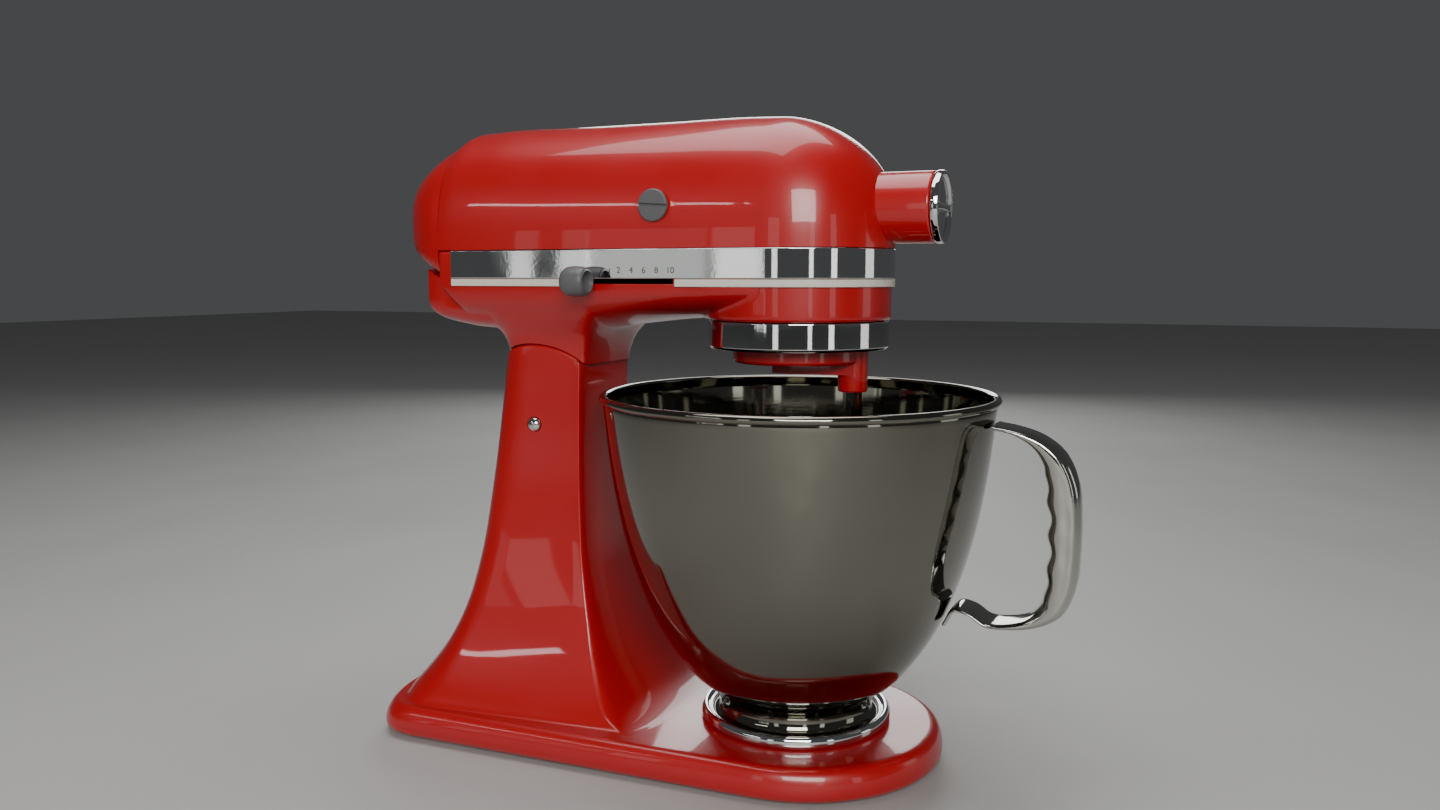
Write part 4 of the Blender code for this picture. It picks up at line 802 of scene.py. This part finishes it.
def make_planetary():
    disc = [(0, 0.2210), (0.0350, 0.2210), (0.0362, 0.2222), (0.0362, 0.2310), (0.0150, 0.2310), (0.0120, 0.2400),
            (0, 0.2400)]
    made = new_object("planetary_casting", turned(softened(disc, 0.0010, 4), 120))
    arm = [(-0.0120, 0.0), (-0.0085, -0.034), (0.0085, -0.034), (0.0120, 0.0), (0.009, 0.012),
           (-0.009, 0.012)]
    join(made, prism(arm, 0.2151, 0.2225))
    boss = [(0, 0.2058), (0.0074, 0.2058), (0.0080, 0.2066), (0.0085, 0.2300), (0, 0.2300)]
    join(made, moved(turned(boss, 64), (0, -ORBIT, 0)))
    cut(made, moved(cylinder(0.0057, 0.20, 0.25), (0, -ORBIT, 0)))
    cut(made, cylinder(0.0063, 0.2215, 0.25))
    dress(made, "red_enamel", "planetary", ("planetary_housing",), edge=0.0006)
    shaft = [(0, 0.1745), (0.0040, 0.1745), (0.0053, 0.1760), (0.0053, 0.2560), (0, 0.2560)]
    made = new_object("drive_shaft", moved(turned(softened(shaft, 0.0006, 3), 48), (0, -ORBIT, 0)))
    pin = [(0, -0.0095), (0.0012, -0.0095), (0.0016, -0.0091), (0.0016, 0.0091), (0.0012, 0.0095),
           (0, 0.0095)]
    join(made, moved(turned(pin, 24), (0, -ORBIT, 0.1870), (1, 0, 0)))
    dress(made, "chrome", "beater", ("beater_shaft",))


def make_hub():
    """The pull-off cap with its grip bar, and the fluted knob that clamps an attachment."""
    cap = [(0, 0.0706), (0.0140, 0.0706), (0.0140, 0.0756), (0.0186, 0.0756), (0.0190, 0.0772), (0.0186, 0.0796),
           (0.0168, 0.0796), (0.0155, 0.0778), (0, 0.0768)]
    made = new_object("cap", moved(turned(softened(cap, 0.0005, 3), 96), (0, 0, HUB_Z), (0, -1, 0)))
    rings = []
    for i in range(33):
        t = i / 32 * 2 - 1
        tall = 0.0018 * (1 + 0.25 * t * t)
        deep = 0.0011 + 0.0005 * (1 - t * t)
        ring = [(0.0158 * t, -0.0782 + deep * math.cos(a), HUB_Z + tall * math.sin(a))
                for a in (2 * math.pi * k / 16 for k in range(16))]
        rings.append(ring)
    join(made, loft(rings))
    dress(made, "chrome", "hub_cap", ("hub_cap",))
    rings = []
    for radius, height in softened([(0.0004, 0.0158), (0.0030, 0.0158), (0.0030, 0.0195), (0.0060, 0.0195),
                                    (0.0095, 0.0220), (0.0100, 0.0240), (0.0100, 0.0330), (0.0085, 0.0350),
                                    (0.0004, 0.0355)], 0.0006, 3):
        deep = 0.0007 if radius > 0.0075 else 0.0
        ring = []
        for k in range(120):
            angle = 2 * math.pi * k / 120
            r = radius - deep * max(0.0, math.cos(12 * angle)) ** 2
            ring.append((r * math.cos(angle), r * math.sin(angle), height))
        rings.append(ring)
    piece("knob", moved(loft(rings), (0, -0.062, HUB_Z), (1, 0, 0)), "grey_plastic", "attachment_knob",
          ("attachment_knob",))


def make_brush_caps():
    cap = [(0, 0.0400), (0.0058, 0.0400), (0.0076, 0.0415), (0.0076, 0.0516), (0.0086, 0.0516), (0.0086, 0.0530),
           (0.0080, 0.0537), (0, 0.0537)]
    for name, side in (("right", -1), ("left", 1)):
        made = new_object(f"brush_screw_{name}",
                          moved(turned(softened(cap, 0.0004, 3), 64), (0, BRUSH_Y, MOTOR_Z), (side, 0, 0)))
        slot = shape_box((-0.0012, -0.010, -0.0008), (0.0012, 0.010, 0.0008))
        turn = Matrix.Rotation(math.radians(4), 4, "X")
        bmesh.ops.transform(slot, matrix=Matrix.Translation((side * 0.0535, BRUSH_Y, MOTOR_Z)) @ turn,
                            verts=slot.verts)
        cut(made, slot)
        dress(made, "grey_plastic", "head", (f"brush_cap_{name}",), edge=0.0001)


def make_controls():
    thick, half, link_end = 0.0009, 0.0022, 0.166
    arm = [(-0.0600, LEVER_Y - half), (-0.0430, LEVER_Y - half), (-0.0430, link_end), (-0.0455, link_end),
           (-0.0455, LEVER_Y + half), (-0.0600, LEVER_Y + half)]
    made = new_object("lever", prism(arm, LEVER_Z - thick, LEVER_Z + thick))
    join(made, shape_box((-0.0453, LEVER_Y, LEVER_Z - 0.0060), (-0.0432, link_end, LEVER_Z + thick)))
    dress(made, "chrome", "speed_lever", ("speed_lever",), edge=0.0002)
    knob = [(0, -0.0080), (0.0060, -0.0080), (0.0072, -0.0072), (0.0079, -0.0050), (0.0082, 0), (0.0078, 0.0040),
            (0.0060, 0.0066), (0, 0.0072)]
    middle = (-0.0620, LEVER_Y, LEVER_Z)
    made = new_object("lever_knob", moved(turned(softened(knob, 0.0012, 4), 64), middle, (0, 1, 0)))
    dish = [(0, -0.0035), (0.0030, -0.0040), (0.0050, -0.0055), (0.0060, -0.0090), (0, -0.0090)]
    cut(made, moved(turned(dish, 48), middle, (0, 1, 0)))
    lever_hole = ((-0.0603, LEVER_Y - 0.0026, LEVER_Z - 0.0013), (-0.05, LEVER_Y + 0.0026, LEVER_Z + 0.0013))
    cut(made, shape_box(*lever_hole))
    dress(made, "grey_plastic", "speed_lever", ("speed_knob",), edge=0.0003)
    made = new_object("lock", moved(cylinder(0.0038, 0.1355, 0.1580, 32), (0, 0, 0.2075), (0, 1, 0)))
    join(made, shape_box((-0.0030, 0.1470, 0.2060), (0.0030, 0.1520, 0.2380)))
    join(made, shape_box((-0.0020, 0.1428, 0.2345), (0.0450, 0.1455, 0.2375)))
    join(made, shape_box((-0.0020, 0.1440, 0.2345), (0.0030, 0.1500, 0.2375)))
    end = [(0, 0.0430), (0.0050, 0.0430), (0.0058, 0.0450), (0.0048, 0.0490), (0, 0.0500)]
    join(made, moved(turned(softened(end, 0.0010, 4), 48), (0, 0.1441, 0.2360), (1, 0, 0)))
    dress(made, "plain_steel", "head_lock", ("head_lock",), edge=0.0002)


def paint_frame():
    """Every CAD node that stays gets its slot's material."""
    slots = {part["node"]: part["material_slot"] for part in frame["record"]["subparts"]}
    for name, made in frame["nodes"].items():
        for place in made.material_slots:
            place.material = MATERIALS[slots[name]]
        made.data.shade_smooth()
        made.data.set_sharp_from_angle(angle=math.radians(35))


make_camera()
make_materials()
make_studio()
paint_frame()
make_pedestal()
make_base_fittings()
make_bowl()
make_handle()
make_lower_housing()
make_upper_housing()
make_rear_cover()
make_trim()
make_dial()
make_gearcase_fittings()
make_planetary()
make_hub()
make_brush_caps()
make_controls()
